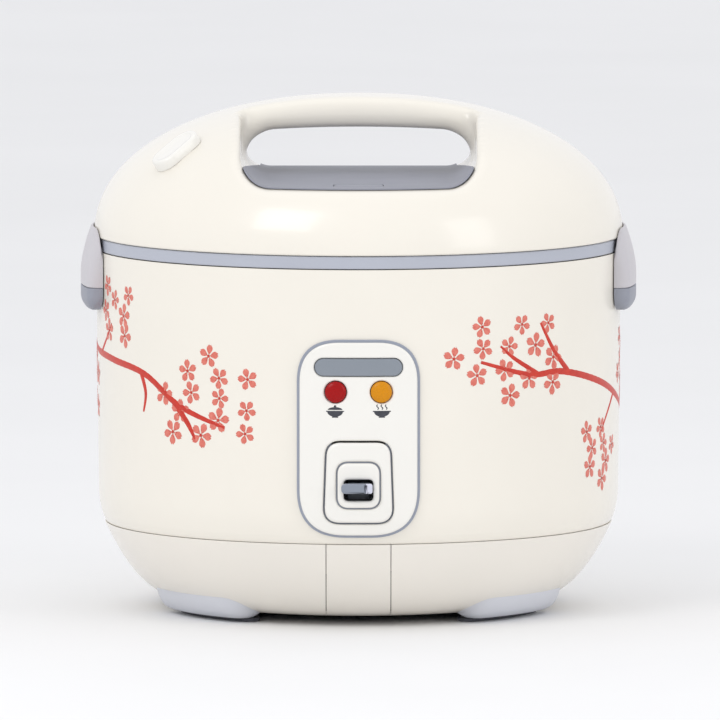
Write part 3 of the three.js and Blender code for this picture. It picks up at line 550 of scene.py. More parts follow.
def dome_field(x, y, z):
    """Roughly the distance outside the dome, which goes on straight down below its edge."""
    r = np.hypot(x, y)
    up = np.maximum(z - LID_BOTTOM, 0)
    n = LID_POWER
    u = np.maximum(r / LID_RADIUS, 1e-6)
    v = up / LID_RISE
    total = np.maximum(u ** n + v ** n, 1e-9)
    value = total ** (1 / n) - 1
    factor = total ** (1 / n - 1)
    slope = np.hypot(factor * u ** (n - 1) / LID_RADIUS, factor * v ** (n - 1) / LID_RISE)
    return value / np.maximum(slope, 1e-4)


def well_floor(y):
    """Height of the well's floor: level, then rolling over its crest to a slope down to the rear."""
    past = y - WELL_CREST
    return WELL_FLOOR - 0.5 * math.tan(WELL_FALL) * (past + np.hypot(past, WELL_ROLL))


def well_field(x, y, z):
    """Distance outside the open well, with room for the tray that lines it."""
    across = np.abs(x) - (WELL_HALF_WIDTH + TRAY_WALL - WELL_CORNER)
    down = well_floor(y) - TRAY_WALL + WELL_CORNER - z
    outside = np.hypot(np.maximum(across, 0), np.maximum(down, 0))
    return outside + np.minimum(np.maximum(across, down), 0) - WELL_CORNER


def strap_field(x, y, z):
    """Distance outside the strap: the dome's top between two rounded edges, over an arched underside."""
    across = np.abs(x) - (WELL_HALF_WIDTH + TRAY_WALL - STRAP_CORNER)
    bow = STRAP_BOW * np.clip(1 - (x / WELL_HALF_WIDTH) ** 2, 0, 1)
    over = z - (STRAP_UNDERSIDE - 0.6 * STRAP_BOW + bow - STRAP_CORNER)
    arch = np.hypot(np.maximum(across, 0), np.maximum(over, 0))
    arch = arch + np.minimum(np.maximum(across, over), 0) - STRAP_CORNER
    slab = np.abs(y) - STRAP_HALF_DEPTH
    body = smooth_max(dome_field(x, y, z), slab, STRAP_EDGE)
    body = smooth_max(body, -arch, STRAP_EDGE)
    body = np.maximum(body, np.abs(x) - WELL_HALF_WIDTH - 7)
    return np.maximum(body, well_floor(y) - 1 - z)


def lid_solid_field(x, y, z):
    """The whole lid as if solid: a dome with the well cut through it and the strap left across."""
    dome = dome_field(x, y, z)
    carved = smooth_max(dome, -well_field(x, y, z), WELL_EDGE)
    return np.maximum(smooth_min(carved, strap_field(x, y, z), STRAP_BLEND), dome)


def surface_nets(field, low, high, cell):
    """Meshes a field's zero surface with one vertex per grid cell that it crosses."""
    axes = [np.arange(low[i], high[i] + cell, cell) for i in range(3)]
    x, y, z = np.meshgrid(*axes, indexing="ij")
    value = field(x, y, z)
    inside = value < 0
    crossings = np.zeros([n - 1 for n in value.shape] + [3])
    counts = np.zeros([n - 1 for n in value.shape])
    for axis in range(3):
        along = [slice(None)] * 3
        ahead = [slice(None)] * 3
        along[axis] = slice(0, -1)
        ahead[axis] = slice(1, None)
        a, b = value[tuple(along)], value[tuple(ahead)]
        crossed = (a < 0) != (b < 0)
        t = np.where(crossed, a / np.where(crossed, a - b, 1), 0)
        others = [i for i in range(3) if i != axis]
        for da in (0, 1):
            for db in (0, 1):
                window = [None] * 3
                window[axis] = slice(None)
                for other, step in zip(others, (da, db)):
                    window[other] = slice(step, value.shape[other] - 1 + step)
                hit = crossed[tuple(window)]
                offset = np.zeros(hit.shape + (3,))
                offset[..., axis] = t[tuple(window)]
                offset[..., others[0]] = da
                offset[..., others[1]] = db
                crossings += np.where(hit[..., None], offset, 0)
                counts += hit
    active = counts > 0
    index = -np.ones(active.shape, int)
    index[active] = np.arange(active.sum())
    cells = np.argwhere(active)
    points = np.array(low) + cell * (cells + crossings[active] / counts[active][:, None])
    faces = []
    for axis in range(3):
        along = [slice(1, -1)] * 3
        ahead = [slice(1, -1)] * 3
        along[axis] = slice(0, -1)
        ahead[axis] = slice(1, None)
        a, b = inside[tuple(along)], inside[tuple(ahead)]
        corner = np.argwhere(a != b)
        others = [(axis + 1) % 3, (axis + 2) % 3]
        start = corner.copy()
        quad = []
        for da, db in ((0, 0), (1, 0), (1, 1), (0, 1)):
            place = start.copy()
            place[:, others[0]] += da
            place[:, others[1]] += db
            quad.append(index[place[:, 0], place[:, 1], place[:, 2]])
        quad = np.stack(quad, 1)
        forward = a[tuple(corner.T)]
        quad[~forward] = quad[~forward][:, ::-1]
        faces.append(quad)
    return points, np.concatenate(faces)


def gradient(field, points, step=0.05):
    x, y, z = points.T
    return np.stack([
        field(x + step, y, z) - field(x - step, y, z),
        field(x, y + step, z) - field(x, y - step, z),
        field(x, y, z + step) - field(x, y, z - step)], 1) / (2 * step)


def settle(points, field, level=0.0, rounds=5):
    """Moves points onto one of the field's level surfaces by Newton steps."""
    for _ in range(rounds):
        value = field(*points.T) - level
        slope = gradient(field, points)
        size = np.maximum((slope ** 2).sum(1), 0.05)
        move = slope * (value / size)[:, None]
        length = np.linalg.norm(move, axis=1, keepdims=True)
        points = points - move * np.minimum(1, 1.0 / np.maximum(length, 1e-9))
    return points


LID_CELL = 2.1                   # grid of the lid's mesh
LID_EDGE_ROUND = 1.3


def lid_mesh():
    """The lid's outer surface cut level at its edge, with an inner one a wall's thickness behind it."""
    margin = 3 * LID_CELL
    low = (-LID_RADIUS - margin, -LID_RADIUS - margin, LID_BOTTOM - margin)
    high = (LID_RADIUS + margin, LID_RADIUS + margin, LID_BOTTOM + LID_RISE + margin)
    points, faces = surface_nets(lid_solid_field, low, high, LID_CELL)
    points = settle(points, lid_solid_field)
    mesh = bpy.data.meshes.new("lid")
    mesh.from_pydata(points.tolist(), [], faces.tolist())
    bm = bmesh.new()
    bm.from_mesh(mesh)
    bpy.data.meshes.remove(mesh)
    bmesh.ops.delete(bm, geom=[v for v in bm.verts if v.co.z < LID_BOTTOM - 1.5 * LID_CELL], context="VERTS")
    for share in (1.0, 0.6, 0.3, 0.1, 0.0):
        sawn(bm, (0, 0, LID_BOTTOM + LID_EDGE_ROUND * share), (0, 0, -1), clear=share == 0)
    bmesh.ops.remove_doubles(bm, verts=bm.verts, dist=0.02)
    add_inner_skin(bm)
    for vert in bm.verts:
        roll_edge(vert)
    return bm


def add_inner_skin(bm):
    """Adds the lid's inside, a wall's thickness behind its outside, and joins the two at the edge."""
    outer = bm.verts[:]
    points = np.array([v.co for v in outer])
    slope = gradient(lid_solid_field, points)
    slope /= np.maximum(np.linalg.norm(slope, axis=1, keepdims=True), 1e-6)
    inside = settle(points - slope * LID_WALL, lid_solid_field, -LID_WALL, 2)
    at_edge = points[:, 2] < LID_BOTTOM + 1e-3
    inside[at_edge, 2] = LID_BOTTOM
    inner = {vert: bm.verts.new(tuple(place)) for vert, place in zip(outer, inside)}
    border = [e for e in bm.edges if e.is_boundary]
    for face in bm.faces[:]:
        bm.faces.new([inner[v] for v in reversed(face.verts)])
    for edge in border:
        a, b = edge.verts
        bm.faces.new((a, b, inner[b], inner[a]))


def roll_edge(vert):
    """Pulls the outer skin's lowest part inwards to a small rounded edge."""
    lift = vert.co.z - LID_BOTTOM
    reach = math.hypot(vert.co.x, vert.co.y)
    if lift < LID_EDGE_ROUND and reach > LID_RADIUS - LID_WALL / 2:
        drop = 1 - max(lift, 0) / LID_EDGE_ROUND
        scale = 1 - LID_EDGE_ROUND * (1 - math.sqrt(max(0.0, 1 - drop * drop))) / reach
        vert.co.x *= scale
        vert.co.y *= scale


VENT_X, VENT_Y = -95.6, -60.0
VENT_HALF_LENGTH, VENT_HALF_WIDTH, VENT_RAISE = 14.5, 8.8, 5.0
PLUG_HALF_LENGTH, PLUG_HALF_WIDTH, PLUG_DEPTH = 10.0, 5.0, 9.0
SKIRT_GAP = 0.25                 # between the cap's skirt and the dome


def vent_matrix():
    """Stands on the dome at the vent cap: X down the meridian, Z out of the dome."""
    r = math.hypot(VENT_X, VENT_Y)
    slope = math.atan((dome_height(r - 0.01) - dome_height(r + 0.01)) / 0.02)
    heading = math.atan2(VENT_Y, VENT_X)
    place = Matrix.Translation((VENT_X, VENT_Y, dome_height(r)))
    return place @ Matrix.Rotation(heading, 4, "Z") @ Matrix.Rotation(slope, 4, "Y")


def prism(outline, low, high, matrix=None):
    """An outline in the XY plane extruded from low to high."""
    bm = bmesh.new()
    tube(bm, [[bm.verts.new((x, y, z)) for x, y in outline] for z in (low, high)])
    if matrix is not None:
        bmesh.ops.transform(bm, matrix=matrix, verts=bm.verts)
    return bm


def make_lid_cover():
    """The lid's cover, cut through for the vent's plug, the hinge's knuckle and the release button."""
    bm = lid_mesh()
    hole = prism(pill_outline(PLUG_HALF_LENGTH + 0.5, PLUG_HALF_WIDTH + 0.5), -14, 14, vent_matrix())
    bm = cut_away(bm, hole)
    low, high = cad_box("lid_knuckle")
    notch = block((low.x - 0.5, 125, LID_BOTTOM - 5), (high.x + 0.5, 160, LID_BOTTOM + 6.6))
    bm = cut_away(bm, notch)
    low, high = cad_box("release_button")
    room = block((low.x - 0.4, low.y - 0.4, WELL_FLOOR - 14), (high.x + 0.4, high.y + 0.4, WELL_FLOOR + 6))
    bm = cut_away(bm, room)
    finish_piece("lid_dome", bm, CREAM, "lid", ["lid_cover"], crease=40)


TRAY_REAR_DEPTH = 1.2
TRAY_FULL, TRAY_LOW = -90.0, 20.0    # the tray's sides sink from the first of these to the second
TRAY_INSET = 2.2                     # how far it stops short of the dome's surface


def tray_section(corner_steps=9, floor_steps=24):
    """(x, height over the floor) points of the well's trough, from its left edge to its right."""
    flat = WELL_HALF_WIDTH - WELL_CORNER
    start = math.acos(1 - TRAY_DEPTH / WELL_CORNER)
    points = []
    for k in range(corner_steps + 1):
        angle = start * (1 - k / corner_steps)
        points.append((-flat - WELL_CORNER * math.sin(angle), WELL_CORNER * (1 - math.cos(angle))))
    for k in range(1, floor_steps):
        points.append((-flat + 2 * flat * k / floor_steps, 0.0))
    points += [(-x, h) for x, h in reversed(points[:corner_steps + 1])]
    return points


def tray_share(y):
    """How much of the trough's full height the tray has: all of it in front, little behind the strap."""
    share = max(0.0, min(1.0, (TRAY_LOW - y) / (TRAY_LOW - TRAY_FULL)))
    return (TRAY_REAR_DEPTH + (TRAY_DEPTH - TRAY_REAR_DEPTH) * share) / TRAY_DEPTH


def tray_end(x, height, side, rounds=30):
    """Where the tray's surface at (x, height) meets the dome, in front (-1) or behind (1)."""
    y = side * LID_RADIUS
    for _ in range(rounds):
        z = float(well_floor(np.float64(y))) + height
        share = max(0.0, min(1.0, (z - LID_BOTTOM) / LID_RISE))
        r = LID_RADIUS * (1 - share ** LID_POWER) ** (1 / LID_POWER)
        y = side * math.sqrt(max(r * r - x * x, 1.0))
    return y


def tray_sheet(stations=60):
    """The tray as an open sheet, one row of points from front to rear for each point of its section."""
    bm = bmesh.new()
    rows = []
    for x, height in tray_section():
        front = tray_end(x, height, -1) + TRAY_INSET
        rear = tray_end(x, height, 1) - TRAY_INSET
        row = []
        for k in range(stations + 1):
            y = front + (rear - front) * k / stations
            low = height * tray_share(y)
            reach = abs(x)
            if height > 0:
                across = WELL_CORNER ** 2 - (WELL_CORNER - low) ** 2
                reach = WELL_HALF_WIDTH - WELL_CORNER + math.sqrt(across)
            row.append(bm.verts.new((math.copysign(reach, x), y, float(well_floor(np.float64(y))) + low)))
        rows.append(row)
    bridge(bm, rows, closed=False)
    bmesh.ops.recalc_face_normals(bm, faces=bm.faces)
    bm.normal_update()
    if sum(face.normal.z for face in bm.faces) < 0:
        bmesh.ops.reverse_faces(bm, faces=bm.faces)
    return bm


BUTTON_HALF_LENGTH, BUTTON_HALF_WIDTH = 13.0, 7.0
BUTTON_GAP = 0.3


def make_tray():
    """The grey tray that lines the well, with a hole for the release button. Its grey is partly the tray's
    own colour and partly painted shade for the hollow of the well.
    """
    bm = tray_sheet()
    bmesh.ops.solidify(bm, geom=bm.faces[:], thickness=TRAY_WALL - 0.1)
    low, high = cad_box("release_button")
    middle = (low.y + high.y) / 2
    reach = BUTTON_HALF_WIDTH + BUTTON_GAP
    outline = rounded_box_outline(BUTTON_HALF_LENGTH + BUTTON_GAP, middle - reach, middle + reach, 3)
    bm = cut_away(bm, prism(outline, WELL_FLOOR - 9, WELL_FLOOR + 11))
    finish_piece("handle_tray_inlay", bm, WELL_GREY, "lid", ["handle_tray"], crease=40)


# How far inside the cap's outline it lies, and how high over the dome, from its skirt to its dished top.
VENT_PROFILE = [(0.0, 0.0), (0.0, VENT_RAISE - 1.5), (0.2, VENT_RAISE - 0.8), (0.7, VENT_RAISE - 0.25),
                (1.4, VENT_RAISE), (2.4, VENT_RAISE), (2.9, VENT_RAISE - 0.3), (3.6, VENT_RAISE - 0.5),
                (7.4, VENT_RAISE - 0.5)]


def lowered_to_dome(point, matrix, rounds=12, step=0.6):
    """Moves a point along the vent cap's axis until it is a small gap over the dome."""
    out = matrix.to_3x3() @ Vector((0, 0, 1))
    for _ in range(rounds):
        reach = min(math.hypot(point.x, point.y), LID_RADIUS - 0.5)
        point -= out * step * (point.z - dome_height(reach) - SKIRT_GAP)
    return point


def make_vent_cap():
    """A pill cushion whose skirt follows the dome, over a plug that sits in the lid."""
    matrix = vent_matrix()
    bm = bmesh.new()
    rings = []
    for inset, height in VENT_PROFILE:
        outline = pill_outline(VENT_HALF_LENGTH - inset, VENT_HALF_WIDTH - inset, steps=20)
        points = [matrix @ Vector((x, y, height)) for x, y in outline]
        if height == 0:
            points = [lowered_to_dome(point, matrix) for point in points]
        rings.append([bm.verts.new(point) for point in points])
    tube(bm, rings)
    plug = prism(pill_outline(PLUG_HALF_LENGTH, PLUG_HALF_WIDTH), -PLUG_DEPTH, 1, matrix)
    finish_piece("steam_cap", merged(bm, plug), PANEL_WHITE, "vent_cap", ["steam_vent_cap"],
                 crease=50)


def make_button():
    """The release button: a cap flush with the tray, a flange that holds it in, a blade for the latch."""
    low, high = cad_box("release_button")
    middle = (low.y + high.y) / 2
    outline = rounded_box_outline(BUTTON_HALF_LENGTH, -BUTTON_HALF_WIDTH, BUTTON_HALF_WIDTH, 2.6)
    cap = turned(plate([outline], 5, 0.8), -math.pi / 2, "X")
    moved(cap, (0, middle, WELL_FLOOR - max(v.co.z for v in cap.verts)))
    blade = block((-4, middle - 1, low.z), (4, middle + 1, WELL_FLOOR - 4), 0.3)
    flange = block((low.x, low.y, WELL_FLOOR - 6), (high.x, high.y, WELL_FLOOR - 3), 0.5)
    finish_piece("button_cap", merged(cap, flange, blade), WELL_GREY, "button",
                 ["release_button"])


# ---- Body shells ---------------------------------------------------------------------------------


def make_casing(curve_steps=8, side_steps=10):
    """The casing, cut through for the power inlet and behind the front panel."""
    heights = [CASING_BOTTOM + (CURVE_TOP - CASING_BOTTOM) * k / curve_steps for k in range(curve_steps + 1)]
    heights += [CURVE_TOP + (CASING_TOP - CURVE_TOP) * k / side_steps for k in range(1, side_steps + 1)]
    outer = [(casing_radius(z), z) for z in heights]
    outer[0] = (outer[0][0] - 0.5, outer[0][1])
    inner = [(casing_radius(z) - CASING_WALL, z) for z in reversed(heights)]
    bm = lathe(outer + inner, ROUND)
    low, high = cad_box("power_inlet")
    bm = cut_away(bm, block((low.x - 0.3, 100, low.z - 0.3), (high.x + 0.3, 160, high.z + 0.3)))
    bm = cut_away(bm, moved(plate([rounded_box_outline(*WINDOW, 8)], 60, 0.0), (0, -160, 0)))
    finish_piece("casing_shell", bm, CREAM, "cooker", ["outer_casing"], crease=40)


def make_rim():
    """The band under the lid, with a ledge for the pot, a slot for the latch and a lip over the casing. Its
    grey-lavender colour is painted shade from the lid's overhang.
    """
    outline = [(112.3, 187.8), (118.6, 187.8), (118.6, 197.1), (137.4, 197.1), (137.4, 192.4),
               (139.6, 192.4), (139.6, 199.1), (116.6, 199.1), (116.6, 189.6), (112.3, 189.6)]
    bm = lathe(fillet(outline, [0.3, 0.3, 0.3, 0.3, 0.3, 0.7, 0.9, 1.0, 0.3, 0.5], 4), ROUND)
    slot = block((-6.5, -135, 190), (6.5, -126.1, 210))
    finish_piece("rim_ring", cut_away(bm, slot), LAVENDER, "cooker", ["top_rim"])


BASE_OPENING = 76.0              # radius of the hole in the base's floor
STRIP_REAR = -86.0               # how far back the front strip reaches


def base_ring():
    """The base as a bowl with an open floor."""
    outer = bowl_points(0)
    inner = list(reversed(bowl_points(-BASE_WALL)))
    outer[-1] = (outer[-1][0] - 0.3, outer[-1][1])
    flange = [(BASE_OPENING, BASE_BOTTOM + BASE_WALL), (BASE_OPENING, BASE_BOTTOM)]
    return lathe(outer + inner + flange, ROUND)


def make_base():
    """The base in two pieces: the bowl, and the strip let into its front."""
    gap = block((-STRIP_HALF_WIDTH - SEAM, -150, 0), (STRIP_HALF_WIDTH + SEAM, STRIP_REAR, BASE_TOP + 5))
    bowl = cut_away(base_ring(), gap)
    finish_piece("base_bowl", bowl, BASE_CREAM, "cooker", ["base_housing"])
    strip = base_ring()
    cuts = [((STRIP_HALF_WIDTH, 0, 0), (1, 0, 0)), ((-STRIP_HALF_WIDTH, 0, 0), (-1, 0, 0)),
            ((0, STRIP_REAR - SEAM, 0), (0, 1, 0))]
    for place, normal in cuts:
        sawn(strip, place, normal, clear=True)
    bmesh.ops.holes_fill(strip, edges=[e for e in strip.edges if e.is_boundary])
    finish_piece("base_strip", strip, BASE_CREAM, "cooker", ["base_front_panel"])


FOOT_START, FOOT_END = math.radians(31), math.radians(79)
FOOT_INNER, FOOT_OUTER = 84.0, 113.5
FOOT_PLACES = {"front_right": (1, -1), "rear_right": (1, 1), "rear_left": (-1, 1), "front_left": (-1, -1)}

# How far inside the foot's widest outline it lies, and how high, from its sole to its top.
FOOT_SIDE = [(9.5, 2.0), (8.2, 2.2), (6.8, 2.8), (4.6, 4.2), (3.0, 6.2), (1.6, 9.0), (0.6, 12.0),
             (0.0, 15.5)]
FOOT_SINK = 1.0                  # how far the foot's top runs up into the bowl's wall


def foot_outline(half, along=40, round_end=12):
    """A bent bar with round ends about the middle of the foot's ring, seen from above."""
    middle = (FOOT_INNER + FOOT_OUTER) / 2
    ends = (FOOT_OUTER - FOOT_INNER) / 2 / middle
    low, high = FOOT_START + ends, FOOT_END - ends

    def spot(angle, width):
        return (middle + width) * math.sin(angle), -(middle + width) * math.cos(angle)

    def cap(angle, onward):
        centre = Vector(spot(angle, 0))
        outward = Vector((math.sin(angle), -math.cos(angle)))
        ahead = Vector((math.cos(angle), math.sin(angle)))
        turns = [math.pi * k / round_end for k in range(1, round_end)]
        return [tuple(centre + onward * half * (outward * math.cos(t) + ahead * math.sin(t))) for t in turns]

    angles = [low + (high - low) * k / along for k in range(along + 1)]
    outer = [spot(a, half) for a in angles]
    inner = [spot(a, -half) for a in reversed(angles)]
    return outer + cap(high, 1) + inner + cap(low, -1)


def foot_mesh():
    """The front right foot, whose outer side leans out to the bowl and whose top runs up into it."""
    bm = bmesh.new()
    loops = []
    for inset, height in FOOT_SIDE:
        loop = []
        for x, y in foot_outline((FOOT_OUTER - FOOT_INNER) / 2 - inset):
            ceiling = bowl_height(math.hypot(x, y)) + FOOT_SINK
            loop.append(bm.verts.new((x, y, min(height, ceiling))))
        loops.append(loop)
    return tube(bm, loops)


def make_feet():
    for place, (side, depth) in FOOT_PLACES.items():
        bm = foot_mesh()
        for vert in bm.verts:
            vert.co.x *= side
            vert.co.y *= -depth
        finish_piece(f"foot_block_{place}", bm, FOOT_GREY, "cooker", [f"foot_{place}"],
                     crease=40)


# ---- Front panel ---------------------------------------------------------------------------------

# Half width, bottom and top of each rounded box.
PANEL = (31.0, 52.0, 154.0)
PLINTH = (18.0, 59.0, 101.3)
BEZEL = (11.0, 67.0, 90.6)
SWITCH_SLOT = (7.8, 70.6, 82.0)
# A black sheet behind the switch's slot: painted shade for the dark inside of the casing.
SLOT_SHADE_SHEET = (17.0, 63.0, 100.0)
SLOT_SHADE_SHEET_SLOT = (6.8, 71.0, 80.6)

LAMP_X, LAMP_Z = 12.0, 128.0
LENS_RADIUS, LENS_RISE, LENS_BACK = 5.6, 1.9, 6.5
PLATE_Z = 141.0
PLATE_HALF_LENGTH, PLATE_HALF_WIDTH = 23.0, 4.5
PANEL_RAISE = 3.6                # the panel's face over the casing
PANEL_BACK = 0.3                 # and its back
SEAL_WIDTH = 1.4
PANEL_CORNER, PANEL_TOP_CORNER = 24.0, 21.0
PLINTH_CORNER, PLINTH_TOP_CORNER, PLINTH_TOP_HALF_WIDTH = 8.0, 7.5, 16.5
BEZEL_CORNER = 6.0
PLINTH_GAP, BEZEL_GAP = 0.9, 0.8     # clear round the plinth and round the bezel


def grown(box, by):
    """A rounded box's half width, bottom and top, grown on every side."""
    half_width, bottom, top = box
    return half_width + by, bottom - by, top + by


def front_piece(name, outlines, low, high, bevel, material, node):
    """A plate on the casing, from one distance outside its surface to another."""
    bm = moved(plate(outlines, high - low, bevel), (0, -high, 0))
    reach = max(abs(v.co.x) for v in bm.verts)
    onto_casing(sliced(bm, -reach, reach, 2.0))
    finish_piece(name, bm, material, "cooker", [node] if node else (), crease=28)


def plinth_outline(grow=0.0, steps=12):
    """The plinth's outline, which is narrower at the top, grown on every side."""
    return rounded_box_outline(*grown(PLINTH, grow), PLINTH_CORNER + grow, PLINTH_TOP_CORNER + grow,
                               PLINTH_TOP_HALF_WIDTH + grow, steps)


def make_front_panel():
    """The panel's face with its holes, the seal that shows round its edge, and the blank plate. The seal's
    grey band is partly a real seal and partly painted shade along the panel's edge.
    """
    panel = rounded_box_outline(*PANEL, PANEL_CORNER, PANEL_TOP_CORNER, steps=16)
    plate_hole = pill_outline(PLATE_HALF_LENGTH + 0.3, PLATE_HALF_WIDTH + 0.3, 0, PLATE_Z)
    lamp_holes = [circle(side * LAMP_X, LAMP_Z, LENS_RADIUS + 0.35) for side in (-1, 1)]
    holes = [plinth_outline(PLINTH_GAP, 10), plate_hole] + lamp_holes
    front_piece("panel_face", [panel] + holes, PANEL_BACK, PANEL_RAISE, 1.1, PANEL_WHITE,
                "control_panel")
    seal = rounded_box_outline(*grown(PANEL, SEAL_WIDTH), PANEL_CORNER + SEAL_WIDTH,
                               PANEL_TOP_CORNER + SEAL_WIDTH, steps=16)
    opening = rounded_box_outline(14, 63, 145, 6)
    front_piece("panel_seal", [seal, opening], -0.05, 1.1, 0.3, SEAL_GREY, None)
    plate_face = pill_outline(PLATE_HALF_LENGTH, PLATE_HALF_WIDTH, 0, PLATE_Z)
    front_piece("name_pill", [plate_face], 2.2, 3.9, 0.5, PLATE_GREY, "name_plate")


def make_switch_surround():
    """The plinth and the bezel round the switch, the seal between them (its grey partly painted shade along
    their edges), and a black sheet behind the slot that is painted shade for the dark inside.
    """
    seal_hole = rounded_box_outline(*grown(BEZEL, -1.5), BEZEL_CORNER - 1.5)
    front_piece("switch_seal", [plinth_outline(-1), seal_hole], 0.2, 3.6, 0.3, SEAL_GREY, None)
    bezel_hole = rounded_box_outline(*grown(BEZEL, BEZEL_GAP), BEZEL_CORNER + BEZEL_GAP)
    front_piece("switch_surround", [plinth_outline(), bezel_hole], PANEL_BACK, 5.6, 1.6, PANEL_WHITE,
                "switch_plinth")
    bezel = rounded_box_outline(*BEZEL, BEZEL_CORNER, steps=12)
    slot = rounded_box_outline(*SWITCH_SLOT, 2.6)
    front_piece("switch_frame", [bezel, slot], PANEL_BACK, 6.4, 1.3, PANEL_WHITE,
                "switch_bezel")
    shade_sheet = [rounded_box_outline(*SLOT_SHADE_SHEET, 3), rounded_box_outline(*SLOT_SHADE_SHEET_SLOT, 0.8)]
    front_piece("slot_shade_sheet", shade_sheet, -3.4, -2.6, 0.1, BLACK, None)


def make_lens(side, material, node, steps=9):
    """A lamp's lens: a round pin with a domed face that stands a little out of the panel."""
    outline = [(0, -LENS_BACK), (LENS_RADIUS, -LENS_BACK), (LENS_RADIUS, -0.2)]
    for k in range(1, steps + 1):
        angle = k / steps * math.pi / 2
        outline.append((LENS_RADIUS * math.cos(angle), -0.2 + LENS_RISE * math.sin(angle)))
    face = math.sqrt((casing_radius(LAMP_Z) + PANEL_RAISE) ** 2 - LAMP_X ** 2)
    bm = moved(turned(lathe(outline, 48), math.pi / 2, "X"), (side * LAMP_X, -face, LAMP_Z))
    finish_piece(node.replace("_lens", "_jewel"), bm, material, "cooker", [node], crease=50)


LEVER_HALF_WIDTH, LEVER_TAB_Z, LEVER_TAB_THICK = 6.0, 77.7, 4.5
LEVER_STOCK = 3.0                # thickness of the bent arm
LEVER_ARM_Z, LEVER_SHELF_Z = 31.0, 40.0
LEVER_STEP_Y, LEVER_RISER_Y = -118.0, -127.0
LEVER_HEAD_HALF = 2.6


def make_lever():
    """The cook lever: a twice-stepped arm up to a tab in the slot, with a head across it whose pale right
    end is a painted highlight.
    """
    low, high = cad_box("switch_lever")
    half, stock, tab_z = LEVER_HALF_WIDTH, LEVER_STOCK, LEVER_TAB_Z
    step_back, riser_back = LEVER_STEP_Y + stock, LEVER_RISER_Y + stock
    tab_low, tab_high = tab_z - LEVER_TAB_THICK / 2, tab_z + LEVER_TAB_THICK / 2
    arm = block((-half, LEVER_STEP_Y, LEVER_ARM_Z), (half, high.y, LEVER_ARM_Z + stock), 0.4)
    step = block((-half, LEVER_STEP_Y, LEVER_ARM_Z), (half, step_back, LEVER_SHELF_Z + stock), 0.4)
    shelf = block((-half, LEVER_RISER_Y, LEVER_SHELF_Z), (half, step_back, LEVER_SHELF_Z + stock), 0.4)
    riser = block((-half, LEVER_RISER_Y, LEVER_SHELF_Z), (half, riser_back, tab_high), 0.4)
    tab = block((-half, low.y + 1, tab_low), (half, riser_back, tab_high), 0.9, 4)
    finish_piece("lever_arm", merged(arm, step, shelf, riser, tab), LEVER_GREY, "lever",
                 ["switch_lever"])
    left, right, seam = low.x - 0.1, high.x + 0.2, high.x - 3.4
    bottom, top = tab_z - LEVER_HEAD_HALF, tab_z + LEVER_HEAD_HALF
    head = fillet([(left, bottom), (seam, bottom), (seam, top), (left, top)], [2.5, 0.1, 0.1, 2.5], 8)
    seam += 0.1
    end = fillet([(seam, bottom), (right, bottom), (right, top), (seam, top)], [0.1, 1.4, 1.4, 0.1], 8)
    # The head's pale right end is a painted highlight.
    for name, outline, material in (("lever_head", head, LEVER_GREY), ("lever_end", end, LEVER_HIGHLIGHT)):
        finish_piece(name, moved(plate([outline], 3.8, 0.7), (0, low.y, 0)), material, "lever")


# ---- Decals --------------------------------------------------------------------------------------

def wrapped(flat, lift):
    """Wraps a flat drawing (x = arc length from the front, z = height, y = lift) round the casing."""
    for vert in flat.verts:
        angle = vert.co.x / casing_radius(vert.co.z)
        reach = casing_radius(vert.co.z) + lift + vert.co.y
        vert.co.x = reach * math.sin(angle)
        vert.co.y = -reach * math.cos(angle)
    return flat


def smooth_path(points, steps=10):
    """A Catmull-Rom curve through (along, height, width) points."""
    padded = [points[0]] + list(points) + [points[-1]]
    out = []
    for a, b, c, d in zip(padded, padded[1:], padded[2:], padded[3:]):
        a, b, c, d = (Vector(p) for p in (a, b, c, d))
        for k in range(steps):
            t = k / steps
            out.append(0.5 * (2 * b + (c - a) * t + (2 * a - 5 * b + 4 * c - d) * t * t
                              + (3 * b - a - 3 * c + d) * t ** 3))
    out.append(Vector(points[-1]))
    return out


def ribbon(bm, points, crown=0.3):
    """A tapering stroke as a thin domed band."""
    path = smooth_path(points)
    rows = []
    for i, point in enumerate(path):
        ahead = path[min(i + 1, len(path) - 1)] - path[max(i - 1, 0)]
        across = Vector((-ahead.y, ahead.x)).normalized() * point.z / 2
        row = []
        for share in (-1.0, -0.55, 0.0, 0.55, 1.0):
            lift = crown * (1 - share * share)
            row.append(bm.verts.new((point.x + across.x * share, lift, point.y + across.y * share)))
        rows.append(row)
    bridge(bm, rows, closed=False)


PETAL_START = 0.16               # where a petal starts, as a share of its length
PETAL_NOTCH = 0.10               # depth of the notch in its tip
PETAL_CROWN = 0.16               # height of its middle


def petal_half_width(t, width):
    """A petal's half width at a share t of its length: rounded, widest past the middle, blunt at the tip."""
    if t >= 1:
        return 0.16 * width
    return width / 2 * math.sin(math.pi * (0.08 + 0.92 * t) ** 1.5) ** 0.75


def petal(bm, x, z, angle, length, width, steps=9):
    """One notched petal as a thin domed leaf."""
    left, right, spine = [], [], []
    for k in range(steps + 1):
        t = k / steps
        reach = length * (PETAL_START + (1 - PETAL_START) * t)
        half = petal_half_width(t, width)
        notch = PETAL_NOTCH * length * max(0.0, (t - 0.8) / 0.2)
        for side, target in ((-1, left), (0, spine), (1, right)):
            along = reach - (notch if side == 0 else 0)
            px = x + along * math.cos(angle) - side * half * math.sin(angle)
            pz = z + along * math.sin(angle) + side * half * math.cos(angle)
            target.append(bm.verts.new((px, PETAL_CROWN if side == 0 else 0.0, pz)))
    bridge(bm, [left, spine, right], closed=False)


